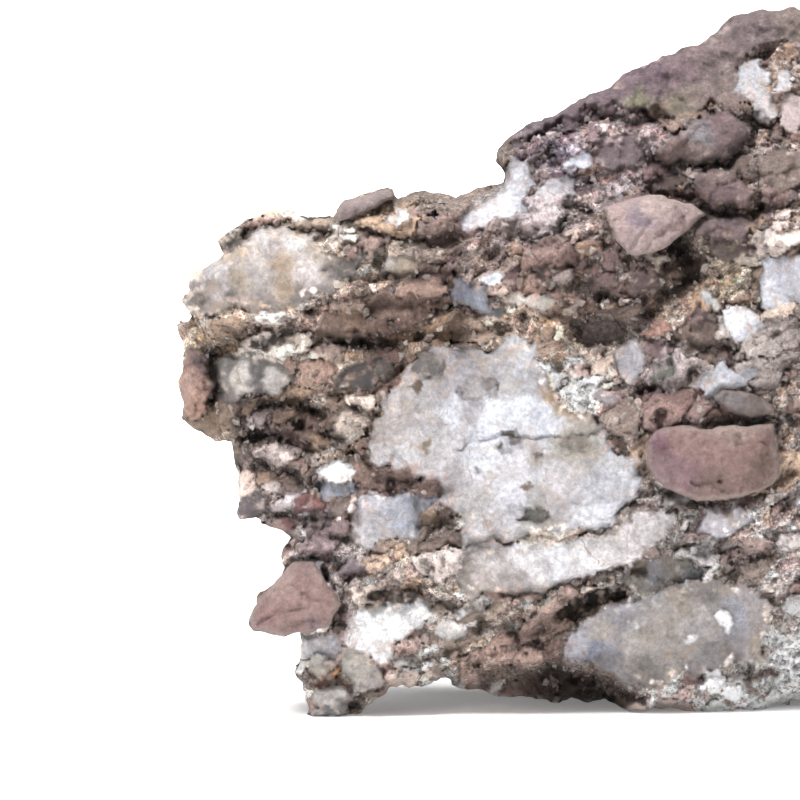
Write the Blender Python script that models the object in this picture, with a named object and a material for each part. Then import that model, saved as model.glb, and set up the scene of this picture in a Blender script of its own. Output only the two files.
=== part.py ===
"""A rough lump of breccia, 165 mm long: angular stones of chalcedony and purple sandstone, grown into one
solid by a gritty natural cement. It stands on four low points of its underside.

The front is drawn as it is seen: u runs right from the rock's left end and v runs up from its left foot,
both in millimetres on the upright plane FACE_Y, from an eye a metre away that looks down a little.
x and z are the true place, y is the depth and grows away from the eye.
"""

import math

import bmesh
import bpy
import numpy as np
from mathutils import Vector, kdtree, noise

MM = 0.001
FACE_Y = -30.0
BACK_Y = 34.0
EYE_DISTANCE = 1000.0
EYE_ELEVATION = math.radians(2.5)
EYE_U, EYE_V = 33.3, 48.3
EYE_Y = FACE_Y - EYE_DISTANCE * math.cos(EYE_ELEVATION)
EYE_Z = EYE_V + EYE_DISTANCE * math.sin(EYE_ELEVATION)

# The rock is widest at its rim, which lies farther back to the right and towards the top.
RIM_Y, RIM_RIGHT, RIM_UP = -16.0, 0.12, 0.11
RIM_WALL = 12.0
GRAIN = 1.1
TRIANGLES = 9600
FOOT_CUT = 0.3
SEED = 7

# The rock's edge against the light, from the left foot up over the top and down to the right end.
# It runs on below the ground, where the underside cuts it off.
OUTLINE = [
    (19.8, -9), (19.7, 1.5), (19.0, 4.8), (17.3, 7.2), (18.3, 9.5), (18.7, 13.4), (16.7, 13.0), (13.0, 13.2),
    (10.9, 14.6), (12.1, 18.6), (14.4, 20.4), (16.0, 22.9), (15.6, 25.2), (17.2, 27.4), (14.6, 29.4),
    (12.4, 30.2), (9.2, 30.3), (9.3, 33.8), (8.5, 36.8), (7.9, 42.3), (5.0, 43.0), (3.2, 45.0), (0.9, 45.9),
    (0.4, 51.5), (1.1, 55.3), (-0.6, 59.3), (2.3, 61.0), (0.7, 63.4), (1.7, 66.0), (4.0, 68.7), (6.9, 70.4),
    (6.0, 72.0), (10.0, 75.7), (15.5, 76.9), (22.5, 75.5), (24.2, 77.5), (32.3, 80.2), (33.0, 78.6),
    (37.0, 79.8), (41.0, 78.5), (48.4, 81.0), (47.5, 84.2), (48.3, 86.4), (51.5, 89.2), (58.5, 92.7),
    (64.0, 94.6), (67.5, 97.9), (71.5, 99.7), (75.0, 100.5), (80.5, 103.4), (83.5, 105.8), (93.0, 107.1),
    (101, 106.4), (108, 103.5), (113, 103.0), (121, 98.5), (127, 96.0), (131, 90.0), (139, 86.5), (142, 79.0),
    (149, 74.0), (152, 66.0), (158, 60.5), (157, 52.0), (162, 45.0), (164.4, 36.0), (161, 28.0), (163, 20.0),
    (158, 11.0), (152, 6.0), (147, -9),
]

# Broken faces of the front and the back: a plane's depth at u 60, v 40, and how fast it recedes with u and v.
FRONT_FACES = [(-32.0, 0.01, -0.02), (-49.0, -0.52, 0.0), (-58.5, 0.03, 0.82), (-68.0, 0.52, 0.05), (-38.0, 0.12, -0.42)]
BACK_FACES = [(34.0, -0.02, 0.03), (60.0, 0.85, 0.1), (49.0, -0.05, -0.72), (80.0, -0.56, -0.1), (31.0, 0.0, 0.24)]

# Main stones of the front: how far the flat face stands out, how fast it leans back to the right and
# upwards, and its outline.
MAIN_STONES = [
    (1.8, 0.05, 0.18, [(0.2, 63.6), (1.6, 66.2), (4.2, 68.3), (8.5, 70.9), (11.5, 74.4), (14, 74.7), (20.9, 72.8),
                       (21.6, 70.8), (24.8, 69.8), (28.5, 70.1), (26.7, 67.1), (23.2, 64.1), (20, 64.3),
                       (18, 61.8), (8.3, 61.6), (3.9, 61.2)]),
    (3.0, 0.0, 0.3, [(-1, 59.6), (2, 61.2), (10, 60.8), (17, 61), (18, 58.6), (12, 57.6), (0, 57.2)]),
    (-1.4, 0.0, 0.1, [(6.2, 54.2), (11.5, 55.4), (15.7, 54), (17, 51.4), (13.4, 49.2), (6.2, 48.5), (5.6, 51.9)]),
    (2.8, -0.15, 0.1, [(17.5, 23.9), (20.1, 24.2), (22.1, 21), (24.4, 17.8), (22.6, 14.1), (18.5, 13.2), (14, 13.2),
                       (10.6, 13.9), (11.7, 18.2), (14, 20.4), (16, 23)]),
    (-2.0, 0.0, 0.32, [(24.5, 12.4), (27.7, 17.1), (36.4, 17.8), (35.4, 14.1), (32.2, 12.1), (32.2, 10.4), (30.2, 8.4),
                       (26.5, 9.9)]),
    (-0.8, 0.0, 0.1, [(26, 32.5), (28, 34), (38.7, 34.5), (39.7, 33), (36.5, 31.2), (35.5, 27.2), (30.5, 27.7),
                      (28.3, 25.7), (26.3, 28.2)]),
    (0.2, 0.02, 0.02, [(28.8, 41.9), (31.2, 46.4), (30.5, 48.1), (33.7, 51.6), (35.5, 54.6), (41.7, 56.5),
                       (48.2, 56.1), (50.6, 58.5), (54.1, 54.1), (57.1, 48.4), (63.3, 45.6), (66.5, 40), (70, 38.6),
                       (68.6, 33.8), (64.2, 29.5), (56.6, 28.5), (46.2, 26.7), (43.2, 25.5), (43.7, 29.7),
                       (39.7, 35.7), (32.5, 38.2)]),
    (-0.6, 0.0, 0.28, [(42.5, 25), (50, 27), (62, 28), (69, 31.5), (74.7, 31.5), (72.4, 27), (69.7, 23.3), (64.2, 22.6),
                       (57.3, 20.3), (49.8, 18.3), (43.4, 17.8), (41.4, 21.8)]),
    (0.4, 0.02, 0.1, [(57.7, 10.4), (62.5, 16.2), (70, 18.1), (79.1, 21.3), (86.9, 19.7), (89, 15.2), (87.7, 10.9),
                      (83.4, 8.5), (75.9, 7.2), (71.6, 4.6), (64.2, 7.2), (57.7, 9.3)]),
    (3.4, -0.04, 0.05, [(70.5, 41.9), (73.8, 44.2), (80.2, 43.9), (89.4, 44.6), (90.1, 39.8), (89.9, 36.6),
                        (86.9, 34.3), (83.7, 33.6), (78, 33.1), (73.4, 35.2), (71.1, 38)]),
    (3.4, 0.12, 0.1, [(63.9, 77.2), (70.4, 79.1), (76.9, 77.8), (79.3, 76.2), (76.3, 73.7), (71.5, 70.5), (68.8, 69.8),
                      (66, 72.1)]),
    (3.8, 0.05, -0.25, [(71, 86), (75, 91), (82, 92.5), (86, 90), (85, 85.5), (79, 84), (73, 84.5)]),
    (2.6, 0.0, 0.1, [(77, 79.5), (79, 82.5), (84, 83.3), (87, 81.5), (86, 78.5), (80, 77.6)]),
    (1.8, 0.0, 0.1, [(62, 94), (66.5, 98), (72, 100), (79, 102), (80, 96.5), (74, 92.8), (66, 91.5)]),
    (1.0, 0.0, 0.15, [(86.4, 63.6), (88, 69.8), (97, 70.6), (103, 67), (100, 62.4), (90.1, 61.8)]),
]

# Lesser stones: centre u and v, length, width, turn in degrees, and the same three values after it.
LESSER_STONES = [
    (20.0, 75.6, 22, 3.4, -4, 2.6, 0.0, 0.25), (2.8, 50.5, 4.4, 9.5, 0, 1.2, -0.5, 0.0),
    (15.5, 36.5, 18, 11, 8, -3.4, 0.05, 0.12), (23.6, 37.6, 6.4, 3.8, 0, -1.0, 0.0, 0.3),
    (12.4, 32.6, 7.5, 5, 25, -1.2, -0.3, -0.1), (21.3, 11.0, 5.5, 5, 0, -0.8, 0.0, 0.0),
    (28.6, 6.6, 6, 5, -35, 1.0, 0.1, 0.1), (60.5, 18.4, 9, 3.4, 14, -3.2, 0.0, 0.5),
    (69.0, 64.6, 8, 4.4, 14, 1.8, 0.05, -0.4), (48.6, 79.0, 7.2, 9.6, -20, 0.6, 0.1, 0.0),
    (29.5, 52.4, 10, 5.2, 24, 0.8, 0.0, 0.2), (37.4, 53.4, 5, 4, 40, 0.8, 0.0, 0.0),
    (26.0, 60.4, 8.5, 5.8, 6, 2.2, 0.1, 0.2), (36.0, 65.8, 10.5, 3.6, 12, 1.8, 0.0, 0.6),
    (44.2, 64.2, 6.8, 4.6, -18, 0.9, 0.0, 0.1), (28.0, 77.6, 9.4, 3.8, 22, 1.8, 0.0, 0.5),
    (84.6, 59.4, 6.8, 5, 0, 1.4, 0.0, 0.0), (82.6, 51.6, 9.6, 4.4, 6, 0.8, 0.0, 0.2),
    (84.8, 47.6, 9, 4, -14, 1.8, 0.0, 0.3), (72.2, 58.6, 4.4, 2.4, 0, 1.8, 0.0, 0.0),
    (87.0, 96.0, 6.5, 8, 24, 1.0, 0.0, 0.0), (78.0, 4.4, 18, 4.6, 2, 2.2, 0.0, 0.3),
    (54.4, 17.2, 7.5, 3.8, 20, 0.8, 0.0, 0.3), (90.0, 28.0, 9, 11, 70, 1.4, 0.2, 0.0),
    (82.0, 73.5, 12, 4.0, 8, 1.8, 0.0, 0.3), (89.5, 83.0, 6.5, 6.5, 0, 1.8, 0.0, 0.0),
]

# Hollows, where stones have dropped out: centre u and v, length, width, turn and depth.
HOLLOWS = [
    (64.3, 58.4, 10, 5.0, -6, 9.0), (19.0, 47.6, 9, 2.2, -14, 4.0), (74.2, 66.2, 5.4, 4.4, 0, 4.0),
    (75.6, 71.6, 3.2, 5.4, 24, 5.0), (78.0, 78.6, 6.5, 1.8, -30, 4.0), (70.0, 90.8, 8, 2.0, -10, 3.0),
    (89.0, 88.2, 5.5, 3.0, 0, 4.0), (92.5, 34.6, 5, 3.4, 10, 5.0), (66.0, 49.6, 4.4, 3.4, 40, 2.6),
    (40.8, 16.6, 5.4, 2.4, -12, 2.6), (51.0, 14.2, 4.6, 2.6, 20, 3.0), (56.0, 88.6, 6, 1.8, 14, 2.6),
    (64.2, 81.4, 5, 2.6, -10, 2.6), (80.4, 83.9, 8, 1.8, -6, 3.0),
]

# Height of the underside along u, at the front edge and at the back.
FRONT_ARCH = [(19, 0), (24, 0), (27, 2), (31, 5), (36, 5.3), (40, 6.8), (46, 7.2), (52, 8), (60, 8.4), (66, 6),
              (69, 2.6), (77, 1.4), (86, 1.4), (92, 4), (105, 5.4), (120, 4.6), (130, 1.6), (144, 1.6), (152, 5), (165, 13)]
BACK_ARCH = [(15, 13), (25, 10), (33, 6), (42, 4), (56, 2.6), (72, 1.8), (96, 1.8), (110, 3.6), (130, 3.4), (146, 7), (165, 15)]

# The points it stands on: u, y and the radius of the worn flat.
FEET = [(22.0, -23.0, 2.8), (80.0, -10.0, 4.0), (90.0, 14.0, 5.0), (137.0, 2.0, 4.5)]


def clear_scene():
    for obj in list(bpy.data.objects):
        bpy.data.objects.remove(obj)


def seen(u, v, y):
    """The true x and z of a point that is drawn at u, v and lies y deep."""
    k = (y - EYE_Y) / (FACE_Y - EYE_Y)
    return EYE_U + (u - EYE_U) * k, EYE_Z + (v - EYE_Z) * k


def drawn(x, y, z):
    """Where a true point is drawn."""
    k = (FACE_Y - EYE_Y) / (y - EYE_Y)
    return EYE_U + (x - EYE_U) * k, EYE_Z + (z - EYE_Z) * k


def smooth(low, high, value):
    t = np.clip((value - low) / (high - low), 0.0, 1.0)
    return t * t * (3.0 - 2.0 * t)


def rim_depth(u, v):
    return RIM_Y + RIM_RIGHT * u + RIM_UP * v


def distance_inside(x, z, outline):
    """How far each point lies inside the closed outline; less than nothing outside it."""
    nearest = np.full(len(x), np.inf)
    inside = np.zeros(len(x), bool)
    for (ax, az), (bx, bz) in zip(outline, outline[1:] + outline[:1]):
        dx, dz = bx - ax, bz - az
        t = np.clip(((x - ax) * dx + (z - az) * dz) / (dx * dx + dz * dz), 0.0, 1.0)
        nearest = np.minimum(nearest, np.hypot(x - ax - t * dx, z - az - t * dz))
        if az != bz:
            inside ^= ((az > z) != (bz > z)) & (x < ax + (z - az) * dx / dz)
    return np.where(inside, nearest, -nearest)


def oval_reach(u, v, centre_u, centre_v, length, width, turn):
    """1 on the edge of a squarish oval, less inside it, more outside."""
    c, s = math.cos(math.radians(turn)), math.sin(math.radians(turn))
    along = np.abs((u - centre_u) * c + (v - centre_v) * s) / (length / 2)
    across = np.abs((v - centre_v) * c - (u - centre_u) * s) / (width / 2)
    return (along ** 3 + across ** 3) ** (1 / 3)


def rough(points, size, octaves):
    """Fractal noise of about -1 to 1 at each point, with lumps of that size."""
    return np.array([noise.fractal(Vector(p) / size, 1.0, 2.0, octaves) for p in points])


def strewn_stones(points):
    """Height at each point of close-set tilted stones of a finger's width, strewn by a fixed rule."""
    random = np.random.default_rng(SEED)
    count = 420
    middles = random.uniform((-4, FACE_Y - 4, 0), (168, BACK_Y + 4, 180), (count, 3))
    lifts = random.uniform(-2.4, 1.2, count)
    tilts = random.uniform(-0.3, 0.3, (count, 3))
    tree = kdtree.KDTree(count)
    for index, middle in enumerate(middles):
        tree.insert(middle, index)
    tree.balance()
    bent = points + 1.6 * np.column_stack([rough(points + shift, 8, 2) for shift in (0, 40, 80)])
    bent[:, 2] = 1.6 * (bent[:, 2] - 0.15 * bent[:, 0])
    height = np.empty(len(points))
    for n, point in enumerate(bent):
        (_, nearest, reach), (_, _, next_reach) = tree.find_n(point, 2)
        flat = lifts[nearest] + tilts[nearest] @ (point - middles[nearest])
        height[n] = -2.4 + (min(max(flat, -4.0), 2.2) + 2.4) * min((next_reach - reach) / 2.2, 1.0)
    return height


def prism(outline):
    """The outline drawn out to a block as deep as the rock."""
    bm = bmesh.new()
    near, far = FACE_Y * MM, BACK_Y * MM
    face = bm.faces.new([bm.verts.new((x * MM, near, z * MM)) for x, z in outline])
    moved = bmesh.ops.extrude_face_region(bm, geom=[face])["geom"]
    bmesh.ops.translate(bm, vec=(0, far - near, 0), verts=[g for g in moved if isinstance(g, bmesh.types.BMVert)])
    bmesh.ops.recalc_face_normals(bm, faces=bm.faces)
    mesh = bpy.data.meshes.new("rock")
    bm.to_mesh(mesh)
    bm.free()
    obj = bpy.data.objects.new("rock", mesh)
    bpy.context.scene.collection.objects.link(obj)
    return obj


def apply(obj, kind, **settings):
    """Adds a modifier with these settings and keeps its result as the object's mesh."""
    modifier = obj.modifiers.new(kind, kind)
    for name, value in settings.items():
        setattr(modifier, name, value)
    graph = bpy.context.evaluated_depsgraph_get()
    mesh = bpy.data.meshes.new_from_object(obj.evaluated_get(graph))
    obj.modifiers.clear()
    obj.data = mesh


def places(obj):
    co = np.empty(len(obj.data.vertices) * 3, np.float32)
    obj.data.vertices.foreach_get("co", co)
    return co.reshape(-1, 3).astype(float) / MM


def place(obj, points):
    obj.data.vertices.foreach_set("co", (points * MM).astype(np.float32).ravel())
    obj.data.update()


def face_depth(faces, u, v, pick):
    return pick.reduce([depth + du * (u - 60) + dv * (v - 40) for depth, du, dv in faces])


def front_depth(x, z, inside):
    """y of the front, with its stones and hollows."""
    u, v = drawn(x, FACE_Y, z)
    rim = rim_depth(u, v)
    flat = np.column_stack([u, np.full(len(u), 3.0), v])
    edge = 9 + 4 * rough(flat, 23, 1)
    rounding = rim - RIM_WALL / 2 + (FACE_Y - 2 - rim) * np.sqrt(1 - (1 - np.minimum(inside / edge, 1)) ** 2)
    broad = np.maximum(face_depth(FRONT_FACES, u, v, np.maximum), rounding)
    depth = broad + 0.8 + 2.6 * rough(flat, 17, 2) + 2.0 * rough(flat + 50, 6, 3)
    for cu, cv, length, width, turn, lift, lean_u, lean_v in LESSER_STONES:
        reach = oval_reach(u, v, cu, cv, length, width, turn)
        share = smooth(0.5, -0.7, (reach - 1.0) * min(length, width) / 2)
        depth += (broad - lift + lean_u * (u - cu) + lean_v * (v - cv) - depth) * share
    for lift, lean_u, lean_v, edges in MAIN_STONES:
        cu, cv = np.mean(edges, axis=0)
        share = smooth(-0.7, 0.5, distance_inside(u, v, edges))
        depth += (broad - lift + lean_u * (u - cu) + lean_v * (v - cv) - depth) * share
    for cu, cv, length, width, turn, deep in HOLLOWS:
        depth += deep * smooth(1.35, 0.3, oval_reach(u, v, cu, cv, length, width, turn))
    return depth


def back_depth(x, z, inside):
    rim = rim_depth(*drawn(x, FACE_Y, z))
    flat = np.column_stack([x, np.full(len(x), 90.0), z])
    edge = 14 + 6 * rough(flat, 23, 1)
    rounding = rim + RIM_WALL / 2 + (BACK_Y - rim) * np.sqrt(1 - (1 - np.minimum(inside / edge, 1)) ** 2)
    broad = np.minimum(face_depth(BACK_FACES, x, z, np.minimum), rounding)
    return broad + 2.6 * rough(flat, 24, 2)


def underside(u, y):
    """Lowest z of the rock at u and y: an arch between its feet."""
    front = np.interp(u, *zip(*FRONT_ARCH))
    back = np.interp(u, *zip(*BACK_ARCH))
    height = front + (back - front) * smooth(-20, -6, y)
    flat = np.column_stack([u, y, np.full(len(u), 7.0)])
    height = np.maximum(height + 1.1 * rough(flat, 7, 3), 1.3)
    for foot_u, foot_y, radius in FEET:
        height = np.minimum(height, 0.55 * np.maximum(np.hypot(u - foot_u, y - foot_y) - radius, 0))
    return height


def carve(obj, outline):
    """Gives the block its front and back, and draws it in behind the rim."""
    p = places(obj)
    inside = np.maximum(distance_inside(p[:, 0], p[:, 2], outline), 0)
    share = (p[:, 1] - FACE_Y) / (BACK_Y - FACE_Y)
    front, back = front_depth(p[:, 0], p[:, 2], inside), back_depth(p[:, 0], p[:, 2], inside)
    p[:, 1] = front + (np.maximum(back, front + 3) - front) * np.clip(share, 0, 1)
    behind = smooth(0, 44, p[:, 1] - rim_depth(p[:, 0], p[:, 2]))
    p[:, 0] -= 0.14 * (p[:, 0] - 80) * behind
    p[:, 2] -= 0.20 * np.maximum(p[:, 2] - 45, 0) * behind
    p[:, 2] = np.maximum(p[:, 2], underside(p[:, 0], p[:, 1]))
    place(obj, p)


def weather(obj):
    """Breaks the ends, the top and the back into stones, behind the part of the front that is drawn."""
    p = places(obj)
    normals = np.empty(len(p) * 3, np.float32)
    obj.data.vertices.foreach_get("normal", normals)
    normals = normals.reshape(-1, 3)
    rim = rim_depth(p[:, 0], p[:, 2])
    hidden = np.maximum(smooth(-3, 6, p[:, 1] - rim), smooth(92, 99, p[:, 0]))
    height = strewn_stones(p) + 1.2 * rough(p, 13, 3)
    at_rim = smooth(7, 2, np.abs(p[:, 1] - rim)) * smooth(104, 96, p[:, 0])
    height = np.minimum(height, 4 * (1 - at_rim)) * smooth(1, 7, p[:, 2])
    height *= 0.5 + 0.5 * smooth(3, 9, np.abs(p[:, 1] - rim))
    p += normals * (height * hidden)[:, None]
    p[:, 2] = np.maximum(p[:, 2], underside(p[:, 0], p[:, 1]))
    place(obj, p)


def drop_crumbs(obj):
    """Keeps the largest body only."""
    bm = bmesh.new()
    bm.from_mesh(obj.data)
    left, bodies = set(bm.verts), []
    while left:
        body, edge = set(), [left.pop()]
        while edge:
            vert = edge.pop()
            body.add(vert)
            fresh = {e.other_vert(vert) for e in vert.link_edges} & left
            left -= fresh
            edge.extend(fresh)
        bodies.append(body)
    crumbs = [vert for body in sorted(bodies, key=len)[:-1] for vert in body]
    bmesh.ops.delete(bm, geom=crumbs, context="VERTS")
    bm.to_mesh(obj.data)
    bm.free()


def stand(obj):
    """Cuts the feet flat, and puts the middle of the rock's box over the origin with its feet on the ground."""
    bm = bmesh.new()
    bm.from_mesh(obj.data)
    geom = bm.verts[:] + bm.edges[:] + bm.faces[:]
    bmesh.ops.bisect_plane(bm, geom=geom, dist=1e-7, plane_co=(0, 0, FOOT_CUT * MM), plane_no=(0, 0, -1), clear_outer=True)
    bmesh.ops.holes_fill(bm, edges=[e for e in bm.edges if e.is_boundary], sides=0)
    bmesh.ops.triangulate(bm, faces=bm.faces)
    bm.to_mesh(obj.data)
    bm.free()
    p = places(obj)
    low, high = p.min(axis=0), p.max(axis=0)
    place(obj, p - ((low[0] + high[0]) / 2, (low[1] + high[1]) / 2, low[2]))


def stone_material():
    material = bpy.data.materials.new("breccia")
    material.use_nodes = True
    shader = material.node_tree.nodes["Principled BSDF"]
    shader.inputs["Base Color"].default_value = (0.30, 0.25, 0.22, 1)
    shader.inputs["Roughness"].default_value = 0.85
    shader.inputs["Metallic"].default_value = 0.0
    return material


def build():
    clear_scene()
    outline = [seen(u, v, rim_depth(u, v)) for u, v in OUTLINE]
    rock = prism(outline)
    apply(rock, "REMESH", mode="VOXEL", voxel_size=GRAIN * MM)
    carve(rock, outline)
    apply(rock, "REMESH", mode="VOXEL", voxel_size=GRAIN * MM)
    weather(rock)
    apply(rock, "REMESH", mode="VOXEL", voxel_size=GRAIN * MM)
    drop_crumbs(rock)
    triangles = sum(len(face.vertices) - 2 for face in rock.data.polygons)
    apply(rock, "DECIMATE", ratio=TRIANGLES / triangles)
    stand(rock)
    rock.data.materials.clear()
    rock.data.materials.append(stone_material())


build()
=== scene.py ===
"""A rough lump of breccia on a white table, in soft studio light.

The front of the rock is drawn as it is seen: u runs right from the rock's left end and v runs up from its
left foot, both in millimetres on the upright plane FACE_Y. Depth is y in millimetres and grows away from
the eye. The rock rides on the frame's one body.
"""

import math

import bpy
import numpy as np
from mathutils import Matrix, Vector, geometry, kdtree, noise
from mathutils.bvhtree import BVHTree


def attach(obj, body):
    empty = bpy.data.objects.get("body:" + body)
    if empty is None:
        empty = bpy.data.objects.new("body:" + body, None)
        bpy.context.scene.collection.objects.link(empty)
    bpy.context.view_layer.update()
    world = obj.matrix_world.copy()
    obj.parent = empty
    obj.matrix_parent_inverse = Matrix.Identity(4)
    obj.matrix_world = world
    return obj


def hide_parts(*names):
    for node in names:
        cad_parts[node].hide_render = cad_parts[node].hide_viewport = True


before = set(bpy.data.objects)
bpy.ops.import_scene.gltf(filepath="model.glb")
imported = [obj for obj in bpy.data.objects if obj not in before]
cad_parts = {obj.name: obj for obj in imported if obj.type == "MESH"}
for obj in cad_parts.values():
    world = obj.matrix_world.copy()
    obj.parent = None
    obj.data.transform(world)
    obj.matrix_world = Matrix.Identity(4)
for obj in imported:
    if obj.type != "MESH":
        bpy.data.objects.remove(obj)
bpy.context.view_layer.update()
scene = bpy.context.scene


# The eye. A long lens a metre from the rock's face, a little above its middle and looking down on it,
# with a picture 120 mm wide at the face, so that the rock's right end runs out of the frame.

MM = 0.001
MIDDLE = np.array((84.7, -0.1, 0.3))
FACE_Y = -30.0
PICTURE_WIDTH = 120.0
AIM_U, AIM_V = 33.3, 48.3
EYE_DISTANCE, EYE_ELEVATION = 1000.0, math.radians(2.5)
EYE = np.array((AIM_U, FACE_Y - EYE_DISTANCE * math.cos(EYE_ELEVATION),
                AIM_V + EYE_DISTANCE * math.sin(EYE_ELEVATION)))


def seen(u, v, y):
    """The true places, in mm from the left end, of points drawn at u, v and lying y deep."""
    k = (y - EYE[1]) / (FACE_Y - EYE[1])
    return np.column_stack([EYE[0] + (u - EYE[0]) * k, y, EYE[2] + (v - EYE[2]) * k])


def drawn(points):
    """Where points at those places are drawn."""
    k = (FACE_Y - EYE[1]) / (points[:, 1] - EYE[1])
    return EYE[0] + (points[:, 0] - EYE[0]) * k, EYE[2] + (points[:, 2] - EYE[2]) * k


eye_data = bpy.data.cameras.new("eye")
eye_data.sensor_width = 36.0
eye_data.lens = 36.0 * EYE_DISTANCE / PICTURE_WIDTH
eye_data.clip_start, eye_data.clip_end = 0.05, 20.0
eye = bpy.data.objects.new("eye", eye_data)
scene.collection.objects.link(eye)
eye.location = (EYE - MIDDLE) * MM
eye.rotation_euler = (math.radians(90) - EYE_ELEVATION, 0, 0)
scene.camera = eye


# The light and the table. A white sweep lit from all sides, with a soft lamp high on the left and a
# broader one overhead, so that shadows are short and only the hollows and the rock's underside are dark.


def linear(hex_colour):
    """An sRGB hex colour as linear RGBA."""
    parts = [int(hex_colour[i:i + 2], 16) / 255 for i in (1, 3, 5)]
    return tuple(c / 12.92 if c <= 0.04045 else ((c + 0.055) / 1.055) ** 2.4 for c in parts) + (1.0,)


def add(tree, kind, settings=None, inputs=None):
    """Adds a node, sets its settings, and fills its sockets with values or links."""
    made = tree.nodes.new(kind)
    for name, value in (settings or {}).items():
        setattr(made, name, value)
    for socket, value in (inputs or {}).items():
        if isinstance(value, bpy.types.NodeSocket):
            tree.links.new(value, made.inputs[socket])
        else:
            made.inputs[socket].default_value = value
    return made


def blank_material(name):
    material = bpy.data.materials.new(name)
    material.use_nodes = True
    return material, material.node_tree, material.node_tree.nodes["Principled BSDF"]


def noise_in(tree, place, size, detail, roughness, distortion=0.0):
    """Cloudy noise with lumps of that size in mm."""
    return add(tree, "ShaderNodeTexNoise", None, {"Vector": place, "Scale": 1000 / size, "Detail": detail,
                                                  "Roughness": roughness, "Distortion": distortion}).outputs["Fac"]


def remap(tree, value, low, high, at_low, at_high):
    """Maps low to high onto the two values given, and holds them beyond."""
    return add(tree, "ShaderNodeMapRange", None, {"Value": value, "From Min": low, "From Max": high,
                                                  "To Min": at_low, "To Max": at_high}).outputs["Result"]


def blend(tree, share, under, over, kind="MIX"):
    """Two colours mixed or multiplied, by that share of the one laid over."""
    return add(tree, "ShaderNodeMix", {"data_type": "RGBA", "blend_type": kind},
               {0: share, 6: under, 7: over}).outputs[2]


def bump_up(tree, shader, height, distance):
    bump = add(tree, "ShaderNodeBump", None, {"Height": height, "Strength": 1.0, "Distance": distance})
    tree.links.new(bump.outputs["Normal"], shader.inputs["Normal"])


def multiply(tree, a, b):
    return add(tree, "ShaderNodeMath", {"operation": "MULTIPLY"}, {0: a, 1: b}).outputs["Value"]


def attribute_of(tree, name, output):
    return add(tree, "ShaderNodeAttribute", {"attribute_name": name}).outputs[output]


scene.view_settings.view_transform = "Standard"
world = bpy.data.worlds.new("white room")
world.use_nodes = True
world.node_tree.nodes["Background"].inputs["Color"].default_value = (1.0, 1.0, 1.0, 1)
world.node_tree.nodes["Background"].inputs["Strength"].default_value = 0.55
scene.world = world


def lamp(name, place, aim, size, watts, colour):
    """A rectangular area lamp that looks at aim."""
    data = bpy.data.lights.new(name, "AREA")
    data.shape = "RECTANGLE"
    data.size, data.size_y = size
    data.energy = watts
    data.color = linear(colour)[:3]
    obj = bpy.data.objects.new(name, data)
    scene.collection.objects.link(obj)
    obj.location = place
    obj.rotation_euler = (Vector(aim) - Vector(place)).to_track_quat("-Z", "Y").to_euler()


lamp("softbox_left", (-0.45, -0.50, 0.80), (-0.02, 0, 0.05), (0.35, 0.35), 11.0, "#FFFFFF")
lamp("softbox_top", (0.15, 0.0, 0.95), (0, 0, 0.05), (0.6, 0.4), 12.0, "#FFFFFF")

table_mesh = bpy.data.meshes.new("table")
table_mesh.from_pydata([(-3, -1.5, 0), (3, -1.5, 0), (3, 0.45, 0), (-3, 0.45, 0), (-3, 0.6, 0.05), (3, 0.6, 0.05),
                        (-3, 0.66, 0.1), (3, 0.66, 0.1), (-3, 0.67, 0.14), (3, 0.67, 0.14)], [],
                       [(0, 1, 2, 3), (3, 2, 5, 4), (4, 5, 7, 6), (6, 7, 9, 8)])
table_mesh.polygons.foreach_set("use_smooth", [True] * 4)
table = bpy.data.objects.new("table", table_mesh)
scene.collection.objects.link(table)
for name, glow in (("white paper sweep", 0.16), ("white paper, lit from behind", 1.0)):
    paper, tree, shader = blank_material(name)
    shader.inputs["Base Color"].default_value = (0.95, 0.95, 0.95, 1)
    shader.inputs["Roughness"].default_value = 0.9
    shader.inputs["Emission Color"].default_value = (1, 1, 1, 1)
    shader.inputs["Emission Strength"].default_value = glow
    table_mesh.materials.append(paper)
table_mesh.polygons.foreach_set("material_index", [0, 1, 1, 1])


# How deep the rock's face lies at each place in the picture, read off the solid under it. The stones and
# the cement are laid on these depths, one smoothed a little and one smoothed a lot.

rock_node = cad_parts["rock"]
MAP_LOW, MAP_STEP, MAP_SIZE = (-6.0, -4.0), 0.5, (240, 236)
# Widths in mm over which the depths are smoothed, and the depth where nothing of the rock is near.
NEAR, WIDE, NO_ROCK = 1.2, 4.0, -8.0


def smooth(low, high, value):
    """0 up to low and 1 from high on, with a soft step between; falling where low is the higher."""
    t = np.clip((value - low) / (high - low), 0.0, 1.0)
    return t * t * (3.0 - 2.0 * t)


def rough(points, size, octaves):
    """Fractal noise of about -1 to 1 at each point, with lumps of that size."""
    return np.array([noise.fractal(Vector(p) / size, 1.0, 2.0, octaves) for p in points])


def solid_mesh():
    """The CAD rock's corners, merged, and its triangles, in mm from the left end."""
    mesh = rock_node.data
    matrix = np.array(rock_node.matrix_world)
    co = np.array([v.co[:] for v in mesh.vertices]) @ matrix[:3, :3].T + matrix[:3, 3]
    places, where = np.unique(np.round(co, 6), axis=0, return_inverse=True)
    faces = [[int(where.ravel()[i]) for i in face.vertices] for face in mesh.polygons]
    return places / MM + MIDDLE, [f for f in faces if len(set(f)) == len(f)]


def blur(field, width):
    """The field smoothed by a bell curve of that width in mm."""
    reach = int(3 * width / MAP_STEP) + 1
    kernel = np.exp(-0.5 * (np.arange(-reach, reach + 1) * MAP_STEP / width) ** 2)
    for axis in (0, 1):
        field = np.apply_along_axis(np.convolve, axis, field, kernel / kernel.sum(), "same")
    return field


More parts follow.
